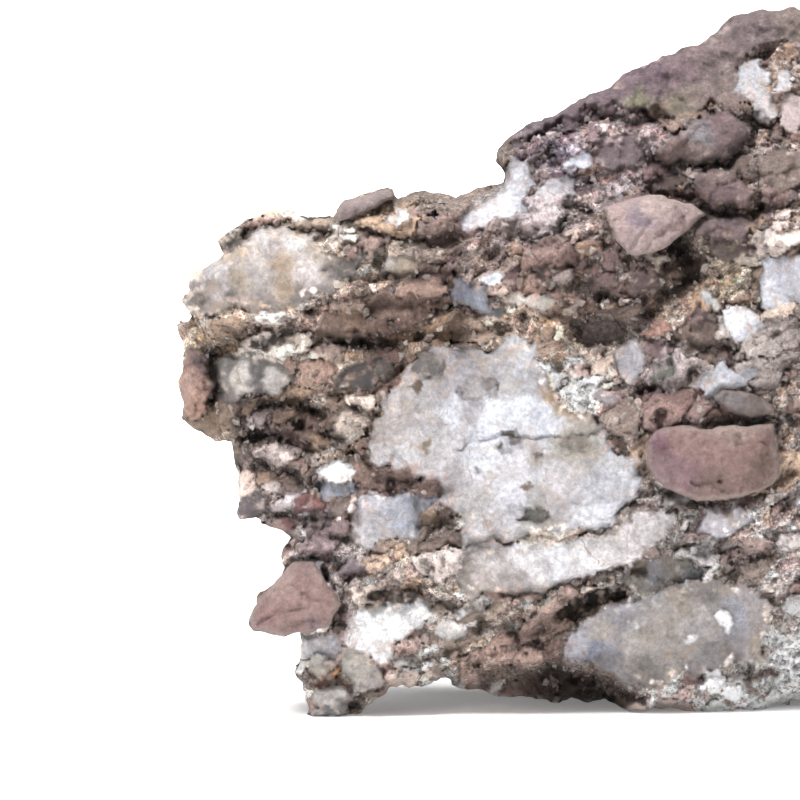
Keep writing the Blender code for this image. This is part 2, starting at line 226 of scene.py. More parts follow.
solid_points, solid_faces = solid_mesh()
solid_tree = BVHTree.FromPolygons([tuple(p) for p in solid_points], solid_faces)
map_u = MAP_LOW[0] + MAP_STEP * np.arange(MAP_SIZE[0])
map_v = MAP_LOW[1] + MAP_STEP * np.arange(MAP_SIZE[1])
hit_depth = np.zeros(MAP_SIZE)
hit = np.zeros(MAP_SIZE)
for i, u in enumerate(map_u):
    for j, v in enumerate(map_v):
        way = Vector((u, FACE_Y, v)) - Vector(EYE)
        spot = solid_tree.ray_cast(Vector(EYE), way.normalized())[0]
        if spot is not None:
            hit_depth[i, j], hit[i, j] = spot.y, 1.0
face_maps = {width: (blur(hit_depth * hit, width) + 1e-6 * NO_ROCK) / (blur(hit, width) + 1e-6)
             for width in (NEAR, WIDE)}


def face_depth(u, v, width):
    """Depth of the rock's face at places in the picture, smoothed over that width in mm."""
    field = face_maps[width]
    x = np.clip((u - MAP_LOW[0]) / MAP_STEP, 0, MAP_SIZE[0] - 1.001)
    y = np.clip((v - MAP_LOW[1]) / MAP_STEP, 0, MAP_SIZE[1] - 1.001)
    i, j = x.astype(int), y.astype(int)
    a, b = x - i, y - j
    near = field[i, j] * (1 - b) + field[i, j + 1] * b
    far = field[i + 1, j] * (1 - b) + field[i + 1, j + 1] * b
    return near * (1 - a) + far * a


# How a proud stone is made: its broken face is flat or gently swollen and fills a ragged outline, its edge
# is rounded off into the cement, and its back is buried. All stones of one mineral are one piece.

proud_stones = []


def reach_inside(u, v, outline):
    """How far places lie inside a closed outline, in mm; less than nothing outside it."""
    nearest = np.full(len(u), np.inf)
    inside = np.zeros(len(u), bool)
    ring = np.asarray(outline, float)
    for (au, av), (bu, bv) in zip(ring, np.roll(ring, -1, axis=0)):
        du, dv = bu - au, bv - av
        t = np.clip(((u - au) * du + (v - av) * dv) / max(du * du + dv * dv, 1e-9), 0.0, 1.0)
        nearest = np.minimum(nearest, np.hypot(u - au - t * du, v - av - t * dv))
        if av != bv:
            inside ^= ((av > v) != (bv > v)) & (u < au + (v - av) * du / dv)
    return np.where(inside, nearest, -nearest)


def ragged(outline, step, wander, seed):
    """The outline cut into short steps that wander as a broken edge does."""
    ring = []
    for a, b in zip(outline, outline[1:] + outline[:1]):
        a, b = np.array(a, float), np.array(b, float)
        cuts = max(1, round(np.hypot(*(b - a)) / step))
        ring += [a + (b - a) * t / cuts for t in range(cuts)]
    ring = np.array(ring)
    flat = np.column_stack([ring, np.full(len(ring), seed * 9.7)])
    shift = np.column_stack([rough(flat, 3.0, 3), rough(flat + 30, 3.0, 3)])
    return ring + wander * shift


def reach_from(u, v, line):
    """Distance of places from an open line."""
    nearest = np.full(len(u), np.inf)
    for (au, av), (bu, bv) in zip(line, line[1:]):
        du, dv = bu - au, bv - av
        t = np.clip(((u - au) * du + (v - av) * dv) / (du * du + dv * dv), 0.0, 1.0)
        nearest = np.minimum(nearest, np.hypot(u - au - t * du, v - av - t * dv))
    return nearest


def nearest_cells(middles, points):
    """For each point, the nearest of the middles, and how much farther off the next one is."""
    cells = kdtree.KDTree(len(middles))
    for index, middle in enumerate(middles):
        cells.insert(middle, index)
    cells.balance()
    own, gap = np.empty(len(points), int), np.empty(len(points))
    for n, point in enumerate(points):
        (_, nearest, reach), (_, _, next_reach) = cells.find_n(point, 2)
        own[n], gap[n] = nearest, next_reach - reach
    return own, gap


# The box that rubble fills, how much it is squeezed along u, and how steeply its beds rise to the right.
RUBBLE_LOW, RUBBLE_HIGH, SQUEEZE, DIP = (-6, -32), (80, 112), 0.64, 0.22


def rubble(u, v, size, seed):
    """Close-packed angular fragments, longer than high and dipping to the left: each place's fragment, how
    far it tilts there, the gap to the next one, what luck has made of each, and where its middle is."""
    random = np.random.default_rng(seed)
    number = int(1.1 * np.prod(np.subtract(RUBBLE_HIGH, RUBBLE_LOW)) / size ** 2)
    middles = random.uniform(RUBBLE_LOW, RUBBLE_HIGH, (number, 2))
    tilts = random.uniform(-0.45, 0.45, (number, 2))
    flat = np.column_stack([u, np.full(len(u), seed), v])
    x = SQUEEZE * u + 0.22 * size * rough(flat, 0.8 * size, 2)
    y = v - DIP * u + 0.22 * size * rough(flat + 50, 0.8 * size, 2)
    own, gap = nearest_cells(np.column_stack([middles, np.zeros(number)]), np.column_stack([x, y, 0 * x]))
    tilt = tilts[own, 0] * (x - middles[own, 0]) + tilts[own, 1] * (y - middles[own, 1])
    middle_u = middles[own, 0] / SQUEEZE
    return own, tilt, gap, random.uniform(0, 1, (number, 3)), (middle_u, middles[own, 1] + DIP * middle_u)


def stone_face(stone, u, v):
    """Depth of a stone's broken face, with its swelling and the fine relief of its mineral."""
    cu, cv = stone["centre"]
    flat = np.column_stack([u, np.full(len(u), stone["seed"] * 3.1), v])
    depth = face_depth(u, v, WIDE) - stone["lift"] + stone["lean"][0] * (u - cu) + stone["lean"][1] * (v - cv)
    for size, height, octaves in stone["relief"]:
        depth += height * rough(flat, size, octaves)
    for line, height, reach in stone["lines"]:
        depth -= height * smooth(reach, 0, reach_from(u, v, line))
    return depth + stone["chips"] * rubble(u, v, 3.4, 30)[1] + 0.4 * stone["chips"] * rubble(u, v, 1.5, 31)[1]


def filled(ring, step, random):
    """Spots strewn in rows inside a closed outline, and the triangles that join them to it."""
    low, high = ring.min(axis=0), ring.max(axis=0)
    gu, gv = np.meshgrid(np.arange(low[0], high[0], step), np.arange(low[1], high[1], step * 0.87))
    gu = gu + 0.5 * step * (np.arange(gu.shape[0]) % 2)[:, None]
    gu = gu.ravel() + random.uniform(-0.2, 0.2, gu.size) * step
    gv = gv.ravel() + random.uniform(-0.2, 0.2, gv.size) * step
    keep = reach_inside(gu, gv, ring) > 0.45 * step
    flat = np.vstack([ring, np.column_stack([gu[keep], gv[keep]])])
    got = geometry.delaunay_2d_cdt([Vector(p) for p in flat], [], [list(range(len(ring)))], 1, 1e-5)
    return np.array([p[:] for p in got[0]]), [list(face) for face in got[2]]


def stone_body(stone, step):
    """Points, triangles and colours of one stone, closed at the back."""
    ring = ragged(stone["outline"], 0.55, stone["wander"], stone["seed"])
    spots, triangles = filled(ring, step, np.random.default_rng(stone["seed"]))
    u, v = spots[:, 0], spots[:, 1]
    inside = np.maximum(reach_inside(u, v, ring), 0)
    depth = stone_face(stone, u, v) + stone["edge"] * (1 - np.minimum(inside / stone["round"], 1)) ** 2
    points = seen(u, v, depth)
    edges = {}
    for face in triangles:
        for a, b in zip(face, face[1:] + face[:1]):
            edges[(a, b)] = True
    rim = [(a, b) for a, b in edges if (b, a) not in edges]
    rim_spots = sorted({a for edge in rim for a in edge})
    buried = {a: len(points) + n for n, a in enumerate(rim_spots)}
    middle = spots[rim_spots].mean(axis=0)
    back = middle + (spots[rim_spots] - middle) * 0.9
    back_depth = depth[rim_spots] + stone["deep"]
    centre = seen(middle[:1], middle[1:], np.array([back_depth.mean()]))
    points = np.vstack([points, seen(back[:, 0], back[:, 1], back_depth), centre])
    for a, b in rim:
        triangles += [[b, a, buried[a]], [b, buried[a], buried[b]], [buried[b], buried[a], len(points) - 1]]
    colour_u = np.concatenate([u, back[:, 0], middle[:1]])
    colour_v = np.concatenate([v, back[:, 1], middle[1:]])
    return points, triangles, stone_tint(stone, colour_u, colour_v)


def spot_colours(u, v, spots, soft):
    """Colour at each place: each named spot colours what lies nearest to it."""
    total, weight = np.zeros((len(u), 3)), np.zeros(len(u))
    for spot_u, spot_v, colour in spots:
        share = 1 / ((u - spot_u) ** 2 + (v - spot_v) ** 2 + soft) ** 2.2
        total += share[:, None] * np.array(linear(colour)[:3])
        weight += share
    return total / weight[:, None]


# The spot colours are those of the stones in full light. This is how much of that light they send back, and
# how much more of it the whiter parts do.
PALE_ALBEDO, DARK_ALBEDO, MAUVE_ALBEDO = (0.74, 0.5), (0.6, 0.0), (0.51, 0.0)


def stone_tint(stone, u, v):
    """Colour at each place of a stone, with clouded borders between its spots."""
    flat = np.column_stack([u, np.full(len(u), 60.0), v])
    bent_u = u + 1.4 * rough(flat, 5, 3) + 0.6 * rough(flat + 40, 1.3, 3)
    bent_v = v + 1.4 * rough(flat + 20, 5, 3) + 0.6 * rough(flat + 60, 1.3, 3)
    colour = spot_colours(bent_u, bent_v, stone["tints"], 0.2)
    albedo, whiter = stone["albedo"]
    colour *= albedo * (colour.mean(axis=1, keepdims=True) / 0.8) ** whiter
    if stone["rim"]:
        worn = smooth(0.9, 0.3, reach_inside(u, v, stone["outline"]) + 0.4 * rough(flat, 2.0, 3))
        colour += (0.6 * np.array(linear(stone["rim"])[:3]) - colour) * 0.5 * worn[:, None]
    return colour


def dress(mesh, tints, material, shares=None):
    """Gives a mesh smooth shading, its material, its colours as the attribute tint, and other attributes."""
    for name, values in (shares or {}).items():
        attribute = mesh.attributes.new(name, "FLOAT", "POINT")
        attribute.data.foreach_set("value", values.astype(np.float32))
    colour = mesh.attributes.new("tint", "FLOAT_COLOR", "POINT")
    colour.data.foreach_set("color", np.column_stack([tints, np.ones(len(tints))]).astype(np.float32).ravel())
    mesh.polygons.foreach_set("use_smooth", [True] * len(mesh.polygons))
    mesh.materials.clear()
    mesh.materials.append(material)


def grown_mesh(name, points, triangles, tints, material, shares=None):
    """A dressed mesh object at the origin."""
    mesh = bpy.data.meshes.new(name)
    mesh.from_pydata([tuple(p) for p in (points - MIDDLE) * MM], [], triangles)
    dress(mesh, tints, material, shares)
    obj = bpy.data.objects.new(name, mesh)
    scene.collection.objects.link(obj)
    return obj


def lay_stones(name, table_of_stones, habit, material, step):
    """Builds all stones of one mineral as one piece, and remembers them for the cement that holds them."""
    points, triangles, tints = [], [], []
    for lift, lean, outline, spots, lines in table_of_stones:
        stone = dict(habit, lift=lift, lean=lean, outline=outline, centre=np.mean(outline, axis=0), tints=spots,
                     lines=lines, seed=len(proud_stones) + 1)
        proud_stones.append(stone)
        p, t, c = stone_body(stone, step)
        start = sum(len(q) for q in points)
        points.append(p)
        triangles += [[i + start for i in face] for face in t]
        tints.append(c)
    piece = grown_mesh(name, np.vstack(points), triangles, np.vstack(tints), material)
    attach(piece, "root")
    return piece


# Mauve and brown mudstone and fine sandstone, the angular flat-faced stones that stand proud. Matt, even
# and finely sandy, with a dusty bloom and thin rust along their edges. Their backs are grown into the cement.

mudstone, tree, shader = blank_material("mudstone, broken")
place = add(tree, "ShaderNodeTexCoord").outputs["Object"]
tint = attribute_of(tree, "tint", "Color")
sand = noise_in(tree, place, 0.9, 6.0, 0.7)
sandy = blend(tree, 1.0, tint, remap(tree, sand, 0.3, 0.7, 0.68, 1.3), "MULTIPLY")
patches = noise_in(tree, place, 5.0, 5.0, 0.6)
dusty = blend(tree, remap(tree, patches, 0.52, 0.7, 0.0, 0.4), sandy, linear("#A08F89"))
rusty = blend(tree, remap(tree, patches, 0.44, 0.3, 0.0, 0.3), dusty, linear("#54403A"))
tree.links.new(rusty, shader.inputs["Base Color"])
shader.inputs["Roughness"].default_value = 0.78
shader.inputs["IOR"].default_value = 1.5
bump_up(tree, shader, noise_in(tree, place, 1.1, 6.0, 0.65), 0.0012)

MUDSTONE_HABIT = {"wander": 0.35, "relief": [(8, 0.5, 2), (2.2, 0.3, 3), (0.8, 0.1, 2)], "edge": 2.2, "round": 0.5,
                  "deep": 5.0, "chips": 0.35, "rim": "#BAA79E", "albedo": MAUVE_ALBEDO}
# Each stone: how far it stands out, how it leans, its outline, its colours, and its ridges and cracks.
MUDSTONE = [
    (3.0, (-0.04, 0.05), [(70.3, 40.8), (70.4, 42.4), (71.4, 43.5), (73.8, 44.4), (75.7, 44.4), (80.2, 43.9),
      (81.4, 44.5), (86, 44.4), (89.4, 44.6), (89.7, 41.9), (90.1, 39.8), (90.1, 36.8), (89, 35.7), (86.9, 34.3),
      (83.7, 33.6), (78, 33.1), (75.4, 34.3), (73.2, 35), (71.7, 36.4), (70.7, 38), (70.3, 39.6)],
     [(80, 40, "#B3908B"), (76, 42, "#B3908A"), (86, 41, "#AE8B84"), (80, 35.2, "#A3857F"), (72.4, 41, "#A07C86"),
      (72.6, 38.6, "#A98B8E"), (88.8, 38, "#9A7D75"), (84, 43.8, "#BFA59C"), (76, 36.8, "#A8868A")],
     [([(74.8, 35), (74.2, 39), (73.6, 44)], -0.5, 1.4), ([(76, 40.5), (81, 38.2), (86, 37.6)], -0.14, 0.3),
      ([(78, 43.2), (84, 42.2)], -0.12, 0.3), ([(81.1, 36.1), (81.5, 36.1)], -1.0, 0.5)]),
    (3.0, (0.12, 0.1), [(63.9, 77.2), (66.4, 78.2), (70.4, 79.1), (72.5, 79.1), (73.3, 78.4), (76.9, 77.8),
      (79.3, 76.2), (78, 75.3), (76.3, 73.7), (73.8, 71.6), (71.5, 70.5), (68.8, 69.8), (67.4, 70.3), (66, 72.1),
      (64.9, 74.2)],
     [(66.6, 75.6, "#D2B6B2"), (71, 77.4, "#D6BEB8"), (69.2, 75.9, "#A5929C"), (70, 72, "#D0B7B3"),
      (76, 75.6, "#C0A5A3"), (74, 73, "#C2A8A4")],
     [([(65.2, 73.7), (72.9, 77.7)], 1.5, 5.5), ([(68, 71), (71, 75.2), (72.6, 77.6)], -0.3, 0.5), ([(70.4, 71),
      (73, 73.6)], -0.3, 0.6), ([(67, 71.6), (69.4, 74.6)], -0.2, 0.5)]),
    (2.2, (-0.12, 0.08), [(17.5, 23.9), (20.1, 24.2), (21, 22.8), (22.1, 21), (24, 18.9), (24.4, 17.8), (23, 15.7),
      (22.6, 14.1), (20.1, 13.2), (16.4, 13), (14.1, 13.4), (11.1, 13.9), (11.2, 16.2), (11.9, 18.2), (14.1, 20.3),
      (16.2, 22.9)],
     [(14, 16, "#BD9994"), (18, 19, "#C5A29C"), (19, 22.5, "#AE8D8C"), (22, 17, "#BA9892"), (17, 14, "#B0918A"),
      (21.6, 14.2, "#98808A"), (12.6, 15, "#B08C8C"), (15.6, 21, "#CAACA4"), (20.4, 20.6, "#B8958F"),
      (18.6, 16.4, "#C2A098")],
     [([(13, 15), (18.5, 22.5)], 1.3, 5), ([(12, 14.6), (15, 16.4), (20, 17.2)], -0.55, 0.6), ([(17, 20.5),
      (20, 18.2), (23.4, 17.6)], -0.5, 0.6), ([(14.6, 19.6), (17.4, 17)], -0.4, 0.5), ([(16, 13.6), (19, 15),
      (22.4, 15.2)], -0.5, 0.7)]),
    (2.2, (0.0, 0.3), [(23.2, 75.9), (24, 77), (24.6, 78.2), (28, 79.2), (32.3, 80.1), (32.8, 78.7), (31, 77.9),
      (28.6, 76.4), (26, 75.6), (24.4, 75.1)], [(28, 77.6, "#AD9A9A"), (25, 77, "#9A8787"), (31, 79, "#8C7B7B")],
     [([(24.6, 76.6), (32, 78.8)], 0.9, 1.6), ([(26.4, 75.8), (28, 78.4)], -0.4, 0.5)]),
    (1.6, (0.0, 0.2), [(80.2, 48.5), (81.6, 49.8), (84.8, 49.8), (88, 48.7), (89.4, 46.9), (89.4, 46.1), (86, 45.6),
      (82.5, 46.4)], [(83, 48.4, "#958B8B"), (87, 47.4, "#8A7D79")], [([(81, 47.6), (88.6, 47)], 0.6, 1.6)]),
]
lay_stones("mauve_stones", MUDSTONE, MUDSTONE_HABIT, mudstone, 0.34)


# The face: pale chalcedony and dark chert, flush with the brown sandy cement that has grown round them.
# One ragged sheet from the rock's left edge to past the picture's right edge, broken into ledges, rubble
# and crevices, and coloured by what each place is made of. Its rim is rounded back into the body.

EDGE = [
    (20.1, 0), (19.5, 0.4), (19.5, 1.9), (19.3, 3.9), (18.6, 6), (17.8, 6.5), (17.3, 7.3), (18, 8.9), (18.4, 9.9),
    (18.5, 13.2), (17.3, 13.3), (16.4, 13), (14.1, 13.4), (11.3, 13.8), (10.9, 14.3), (11.2, 16.2), (11.9, 18.2),
    (12.5, 19.4), (14.1, 20.3), (15.5, 21.9), (16.2, 22.9), (15.6, 23.5), (15.7, 24.9), (16.2, 26.5), (17.2, 27.4),
    (16.4, 28.1), (15.5, 28.7), (14.1, 29.4), (12.7, 29.7), (12, 30.6), (9.5, 30.4), (9.2, 30.9), (9.4, 33.6),
    (9, 34.1), (8.7, 35.5), (8.8, 37.3), (8.5, 38.2), (8, 40.5), (7.9, 42.1), (6.3, 42.2), (4.2, 43), (2.5, 44),
    (1, 45.3), (0.6, 46.9), (0.3, 49.2), (0.4, 51.4), (0.7, 53.5), (1.2, 55.8), (-0.5, 59.7), (2, 60.5),
    (2.3, 60.9), (1.2, 62), (0.6, 63.6), (1.65, 64.9), (1.65, 66.2), (2.8, 67.5), (4.2, 68.3), (6.9, 70.1),
    (7.2, 70.4), (6, 71.9), (7.4, 73.1), (9.7, 75.1), (10.4, 75.8), (12.2, 76.1), (14.3, 76.6), (16.1, 76.8),
    (17.5, 76.7), (18.4, 76), (20.2, 75.6), (22.1, 75.6), (23.2, 75.9), (24, 76.9), (24.6, 78), (26.2, 78.3),
    (28, 79), (30.4, 79.7), (32.3, 79.9), (32.9, 78.4), (34.7, 79.3), (36.8, 79.9), (38.8, 79.4), (41.5, 78.4),
    (42.7, 79), (44.2, 79.6), (47.2, 80.6), (48.7, 81.1), (48.9, 82.1), (48, 83.5), (47.5, 84.1), (47.9, 85.3),
    (49.2, 86.5), (50.2, 87.6), (51.4, 88.7), (53.4, 89.8), (55.9, 90.9), (58.9, 92.7), (60.3, 93.4), (64.1, 94.5),
    (65.1, 95.9), (66.6, 97.2), (68.3, 98.1), (70, 98.5), (72.1, 99.9), (74.8, 100.4), (75.9, 101.5), (77.8, 101.7),
    (80.1, 103.3), (81.5, 104.3), (82.8, 105.6), (86, 106.5), (89.7, 106.6), (92.7, 107.1), (95.6, 105.6),
    (97, 103), (98.4, 98), (101, 90), (103, 78), (106, 60), (104, 40), (106, 22), (103, 5.2), (97, 4.4),
    (93.3, 3.4), (92, 3.2), (91.5, 2.1), (89.6, 2.7), (88.8, 2.1), (88, 1), (80.2, 0.8), (79.1, 0.8), (77.3, 1.3),
    (73.5, 1.9), (70, 1.4), (66.3, 1.8), (64.2, 3), (61.7, 2.9), (59.3, 3.7), (57.2, 2.8), (55.3, 3.2), (52.6, 3.8),
    (49.7, 3.5), (48.1, 3.7), (44.6, 4.7), (41.1, 5.5), (40.1, 6.6), (38.9, 6.4), (37.7, 5.9), (36.4, 5.3),
    (34.9, 4.9), (33.8, 5.3), (32.7, 5), (31.4, 5.1), (30.7, 4.2), (29.6, 3.7), (29.2, 2.7), (27.7, 1.5), (26, 0.7),
    (24.5, 0.4), (23.5, 0),
]

# The pale stones: how far each swells out, how it leans, its outline, and its colours.
PALE_STONES = [
    (1.8, (0.05, 0.12), [(0.6, 63.6), (1.65, 64.9), (1.65, 66.2), (2.8, 67.5), (4.2, 68.3), (6.9, 70.1),
      (8.5, 70.9), (9.7, 72.1), (10.4, 73.4), (11.5, 74.4), (14, 74.7), (16.8, 73.6), (19.1, 73.4), (20.9, 72.8),
      (21.6, 70.8), (24.8, 69.8), (26.7, 70.8), (28.5, 70.1), (26.7, 67.1), (24.8, 66.2), (23.2, 64.1), (20, 64.3),
      (18, 61.8), (15.7, 61.4), (8.3, 61.6), (3.9, 61), (2.3, 61.2), (1.2, 62)],
     [(3, 67, "#C9C0C0"), (6, 64, "#C8BDBD"), (4, 62.8, "#B3A49F"), (10, 69, "#CABEBA"), (14, 66, "#C9BFBA"),
      (14, 71.5, "#C9BEBA"), (19, 68, "#D6CCCA"), (22.4, 66.6, "#C4B9B6"), (2.6, 63.2, "#8F8480"),
      (7, 63.6, "#8D827E"), (11.5, 63, "#B0A5A0"), (18, 63.4, "#958B87"), (22, 65, "#A0968F"),
      (25.4, 68.2, "#8C8580"), (27, 69.6, "#88817D"), (9.4, 70.4, "#C9B8A6"), (9, 66.4, "#C4B3A2"),
      (15.4, 68.4, "#C4AD97"), (15.7, 65, "#BBA58F"), (21, 70.6, "#C2B5A9"), (12, 72.6, "#D9D3D1"),
      (18, 71.6, "#D8D3D2"), (6.5, 67.8, "#CFC8C8"), (12.4, 67, "#C6BEBB")]),
    (0.8, (0.02, 0.03), [(28.8, 41.9), (29.3, 44.9), (31.2, 46.4), (30.5, 48.1), (32.5, 50.4), (33.7, 51.6),
      (34.2, 53.4), (35.5, 54.6), (38.5, 56.5), (41.7, 56.5), (44.7, 56.3), (46.2, 55.6), (48.2, 56.1),
      (49.4, 58.1), (50.6, 58.5), (52.4, 57.6), (54.1, 54.1), (55.6, 52.1), (57.1, 48.4), (59.1, 46.9),
      (63.3, 45.6), (64.2, 43), (64.9, 41.2), (66.5, 40), (68.8, 39.8), (70, 38.6), (69.7, 35.7), (68.6, 33.8),
      (67.2, 31.5), (64.2, 29.5), (61.9, 29), (56.6, 28.5), (52.9, 27.5), (49.9, 27.2), (46.2, 26.7), (43.2, 25.5),
      (42.2, 28), (43.7, 29.7), (40.2, 32.2), (39.2, 34), (39.7, 35.7), (35, 37.2), (32.5, 38.2), (30, 38.4),
      (28.8, 39.4)],
     [(32, 42, "#C9C2C3"), (35, 47, "#C2BAB8"), (38, 52, "#BEB5B3"), (40, 38, "#C9C2C4"), (47, 46, "#E8EAF3"),
      (50, 52, "#C9C8CE"), (44, 54, "#B4AEB0"), (55, 46, "#E2E4EE"), (58, 36, "#CEC8CB"), (50, 33, "#D8D6DD"),
      (64, 35, "#CECED6"), (60, 41.4, "#BDB7AE"), (46, 30, "#CBC5C6"), (62, 31, "#DADAE0"), (39.3, 50, "#BDB7BC"),
      (43, 52.6, "#BDB8BE"), (47, 54.4, "#C6C1C5"), (57.5, 48.3, "#C9AE92"), (54, 30.6, "#B5B2AD"),
      (41.5, 46.6, "#E6E7EE"), (46, 41.4, "#E9EAF2"), (38, 44.4, "#CFCACC"), (52, 46.4, "#E9EBF4"),
      (33.4, 40.4, "#D6D2D4"), (50, 38.4, "#DFDCE1"), (57, 32.4, "#C4BFC3"), (66.6, 38, "#D6D5DB"),
      (31, 44.8, "#BDB4B0"), (36.4, 49.4, "#C6C0C1"), (53, 54, "#D8D8DF"), (44, 46.8, "#CDC9CE")]),
    (-0.2, (0.0, 0.22), [(42.5, 25), (45, 26.4), (50, 26.7), (57, 27), (62, 27.8), (66, 29.4), (69, 31.3),
      (72, 31.8), (74.7, 31.5), (75, 30.6), (72.4, 27), (70.1, 25.6), (69.7, 23.3), (66.9, 22.9), (64.2, 22.6),
      (61.4, 21.2), (57.3, 20.3), (52.6, 18.8), (49.8, 18.3), (46.6, 19.3), (43.4, 17.8), (41.4, 21.8),
      (42.6, 23.6)],
     [(45, 22, "#C2B7B3"), (50, 21, "#BAB0AE"), (52, 25, "#EFEBEE"), (58, 24, "#F3F1F5"), (66, 27, "#EDE6E7"),
      (72, 29, "#EAE4E4"), (47, 25, "#DAD2D0")]),
    (0.8, (0.02, 0.08), [(57.7, 10.4), (59.3, 13.6), (62.5, 16.2), (64.7, 17.6), (70, 18.1), (74, 20.3),
      (79.1, 21.3), (84.8, 20.3), (86.9, 19.7), (88.8, 17.9), (89, 15.2), (87.7, 10.9), (88.8, 8.8), (83.4, 8.5),
      (79.4, 6.9), (75.9, 7.2), (71.6, 4.6), (68.4, 5.8), (64.2, 7.2), (62.3, 8.2), (60.4, 8.9), (57.7, 9.3)],
     [(60.4, 11.5, "#CFCDD6"), (64, 14, "#C2B9B5"), (68, 11, "#C1B9B4"), (72, 15, "#BDB3AE"), (74, 10, "#B3AAA4"),
      (68.6, 14.4, "#C8C2C3"), (80, 14, "#B9B2B1"), (76.7, 11, "#BEB7B4"), (71, 18.6, "#ACAAAD"),
      (63, 11, "#AEB1C2"), (66, 15.6, "#B0ADB4"), (74.6, 17.4, "#BDB1A6"), (70, 12.6, "#B4ABA2"),
      (78.6, 16.4, "#C3BBB7"), (84, 15.2, "#B9BAC6"), (87, 12, "#C9BDB0"), (84.6, 12.4, "#BCB3B6"),
      (79, 18.6, "#A79F9C"), (70, 8, "#9C9490"), (78, 8.6, "#ABA3A3"), (86.6, 16, "#C2B9B8"), (65, 8.6, "#9E9BA0"),
      (82.6, 10, "#A39B99")]),
    (-0.4, (0.0, 0.05), [(26, 32.5), (28, 34), (33.7, 34.2), (38.7, 34.5), (39.7, 33), (36.5, 31.2), (36.5, 29),
      (35.5, 27.2), (30.5, 27.7), (28.3, 25.7), (27, 26.2), (26.3, 28.2)],
     [(29, 31, "#C9C6CC"), (33, 30, "#C0C2CE"), (37, 33, "#AEB3C2"), (28, 27.5, "#D8D4D8")]),
    (0.4, (0.0, 0.3), [(20.3, 37.3), (21.4, 38.4), (23, 39.4), (24.7, 39.4), (26.4, 37.1), (26, 36.1),
      (20.5, 36.3)], "#FBFBFD"),
    (-0.6, (0.0, 0.1), [(20.6, 36.2), (26.2, 35.9), (27.2, 34.6), (25, 33.2), (22, 33), (21, 34.4)], "#B4B9C6"),
    (0.8, (0.0, 0.12), [(24.3, 12.2), (25.8, 15.4), (27.7, 17.1), (31, 17.6), (34.6, 18.2), (37.6, 18),
      (38.4, 16.4), (37, 14.2), (34.4, 13), (32.6, 11.6), (32.2, 10), (30.4, 8.6), (27.2, 9.6)],
     [(28, 14.6, "#FCFBFD"), (33, 15.4, "#FEFDFE"), (30, 13.6, "#FEFDFE"), (36, 15.6, "#FDFCFE"),
      (29, 10.5, "#E6E0E0"), (26, 12, "#F1EEF0"), (30, 17.8, "#B3B4B8"), (35.6, 18.2, "#B9BBC0")]),
    (-0.4, (0.0, 0.0), [(18.7, 13.0), (21.5, 13.4), (24.1, 12.4), (24, 9.8), (21.5, 9), (18.7, 9.4)], "#D6D4DC"),
    (0.2, (0.1, 0.0), [(49.3, 85.3), (50.2, 84.7), (51.9, 83.9), (52.8, 83.9), (52.7, 81.6), (54.2, 81.4),
      (52.2, 79.4), (51.9, 77.9), (52.2, 76.1), (49.9, 76.1), (47.6, 75.9), (46.1, 74.3), (44.2, 73.7), (43, 73.9),
      (43.2, 76.1), (44, 77.9), (46.5, 79.4), (47.8, 80.6), (48.9, 81.1), (49.1, 82.6)],
     [(50, 83, "#D9D8DE"), (51, 80, "#D3D3DB"), (47, 77, "#E9E6EC"), (44.5, 75.3, "#D5D2DA")]),
    (0.6, (0.0, 0.0), [(57.3, 83.4), (58.4, 84.7), (60.9, 85.9), (62.4, 84.9), (61.9, 83.6), (58.9, 82.8)],
     "#D5D8E2"),
    (0.3, (0.0, 0.0), [(53.5, 79), (55.5, 81.6), (58, 82), (60, 80.6), (59, 78.8), (56, 78.2)], "#CFCBD0"),
    (0.2, (0.0, 0.0), [(65.5, 79), (66.5, 79.9), (67, 79), (66.2, 78.4)], "#C9CDD8"),
    (0.8, (0.0, 0.0), [(31.1, 75.2), (32, 77), (34, 77.2), (34.5, 75.4), (33, 74.2)], "#E9E5E5"),
    (0.6, (0.0, 0.0), [(37.4, 75.5), (38.2, 76.4), (39, 76), (38.6, 75.2)], "#C3CCDA"),
    (0.2, (0.0, 0.2), [(30.3, 67.4), (31.5, 69.7), (34, 70), (36.3, 69.2), (35.6, 67.4), (33, 67)],
     [(31.5, 68.5, "#E2DBD4"), (35, 68.4, "#CBB9A6")]),
    (0.8, (0.0, 0.1), [(41.1, 66.6), (44.2, 66.2), (46.2, 65.2), (47.5, 61.5), (45.2, 61.5), (43.2, 62), (42, 63),
      (40.5, 64)], [(42, 65, "#8E94A6"), (45, 63.5, "#A3A8B6"), (44, 62.3, "#83858F")]),
    (1.0, (0.0, 0.2), [(44.7, 66.9), (46.2, 67.6), (48.7, 67.7), (48.9, 66.8), (47.7, 65.7), (46.2, 65.2)],
     "#E4EAF3"),
    (0.6, (0.0, 0.1), [(47.7, 63.5), (50.2, 64.7), (56.4, 63.2), (55.1, 61.7), (52.2, 62.5)], "#D9D0C8"),
    (0.4, (0.0, 0.0), [(65.5, 53), (66.4, 57.6), (69, 57.8), (70, 54), (69.2, 51.2), (66.8, 51)], "#C6C2C9"),
    (0.8, (0.0, 0.0), [(81.6, 61.8), (83, 62.2), (86.9, 61.5), (88, 59.9), (86, 57.2), (83.7, 57.2), (81.6, 59.9)],
     [(84, 60, "#F1F1F8"), (86, 58, "#DCDDE6")]),
    (0.6, (0.0, 0.0), [(78.4, 64.5), (80, 64.8), (82.1, 62.7), (80.7, 61.5)], "#D0D2D6"),
    (0.6, (0.0, 0.05), [(86.9, 69.1), (88, 69.8), (93.3, 70), (99, 70.4), (104, 67.5), (101, 63), (93.3, 63.2),
      (90.1, 61.8), (86.9, 62.5), (86.4, 63.6), (87.4, 65.9)],
     [(90, 66.5, "#CDCDD8"), (88, 64, "#DDDDE4"), (97, 67, "#D2CFD6")]),
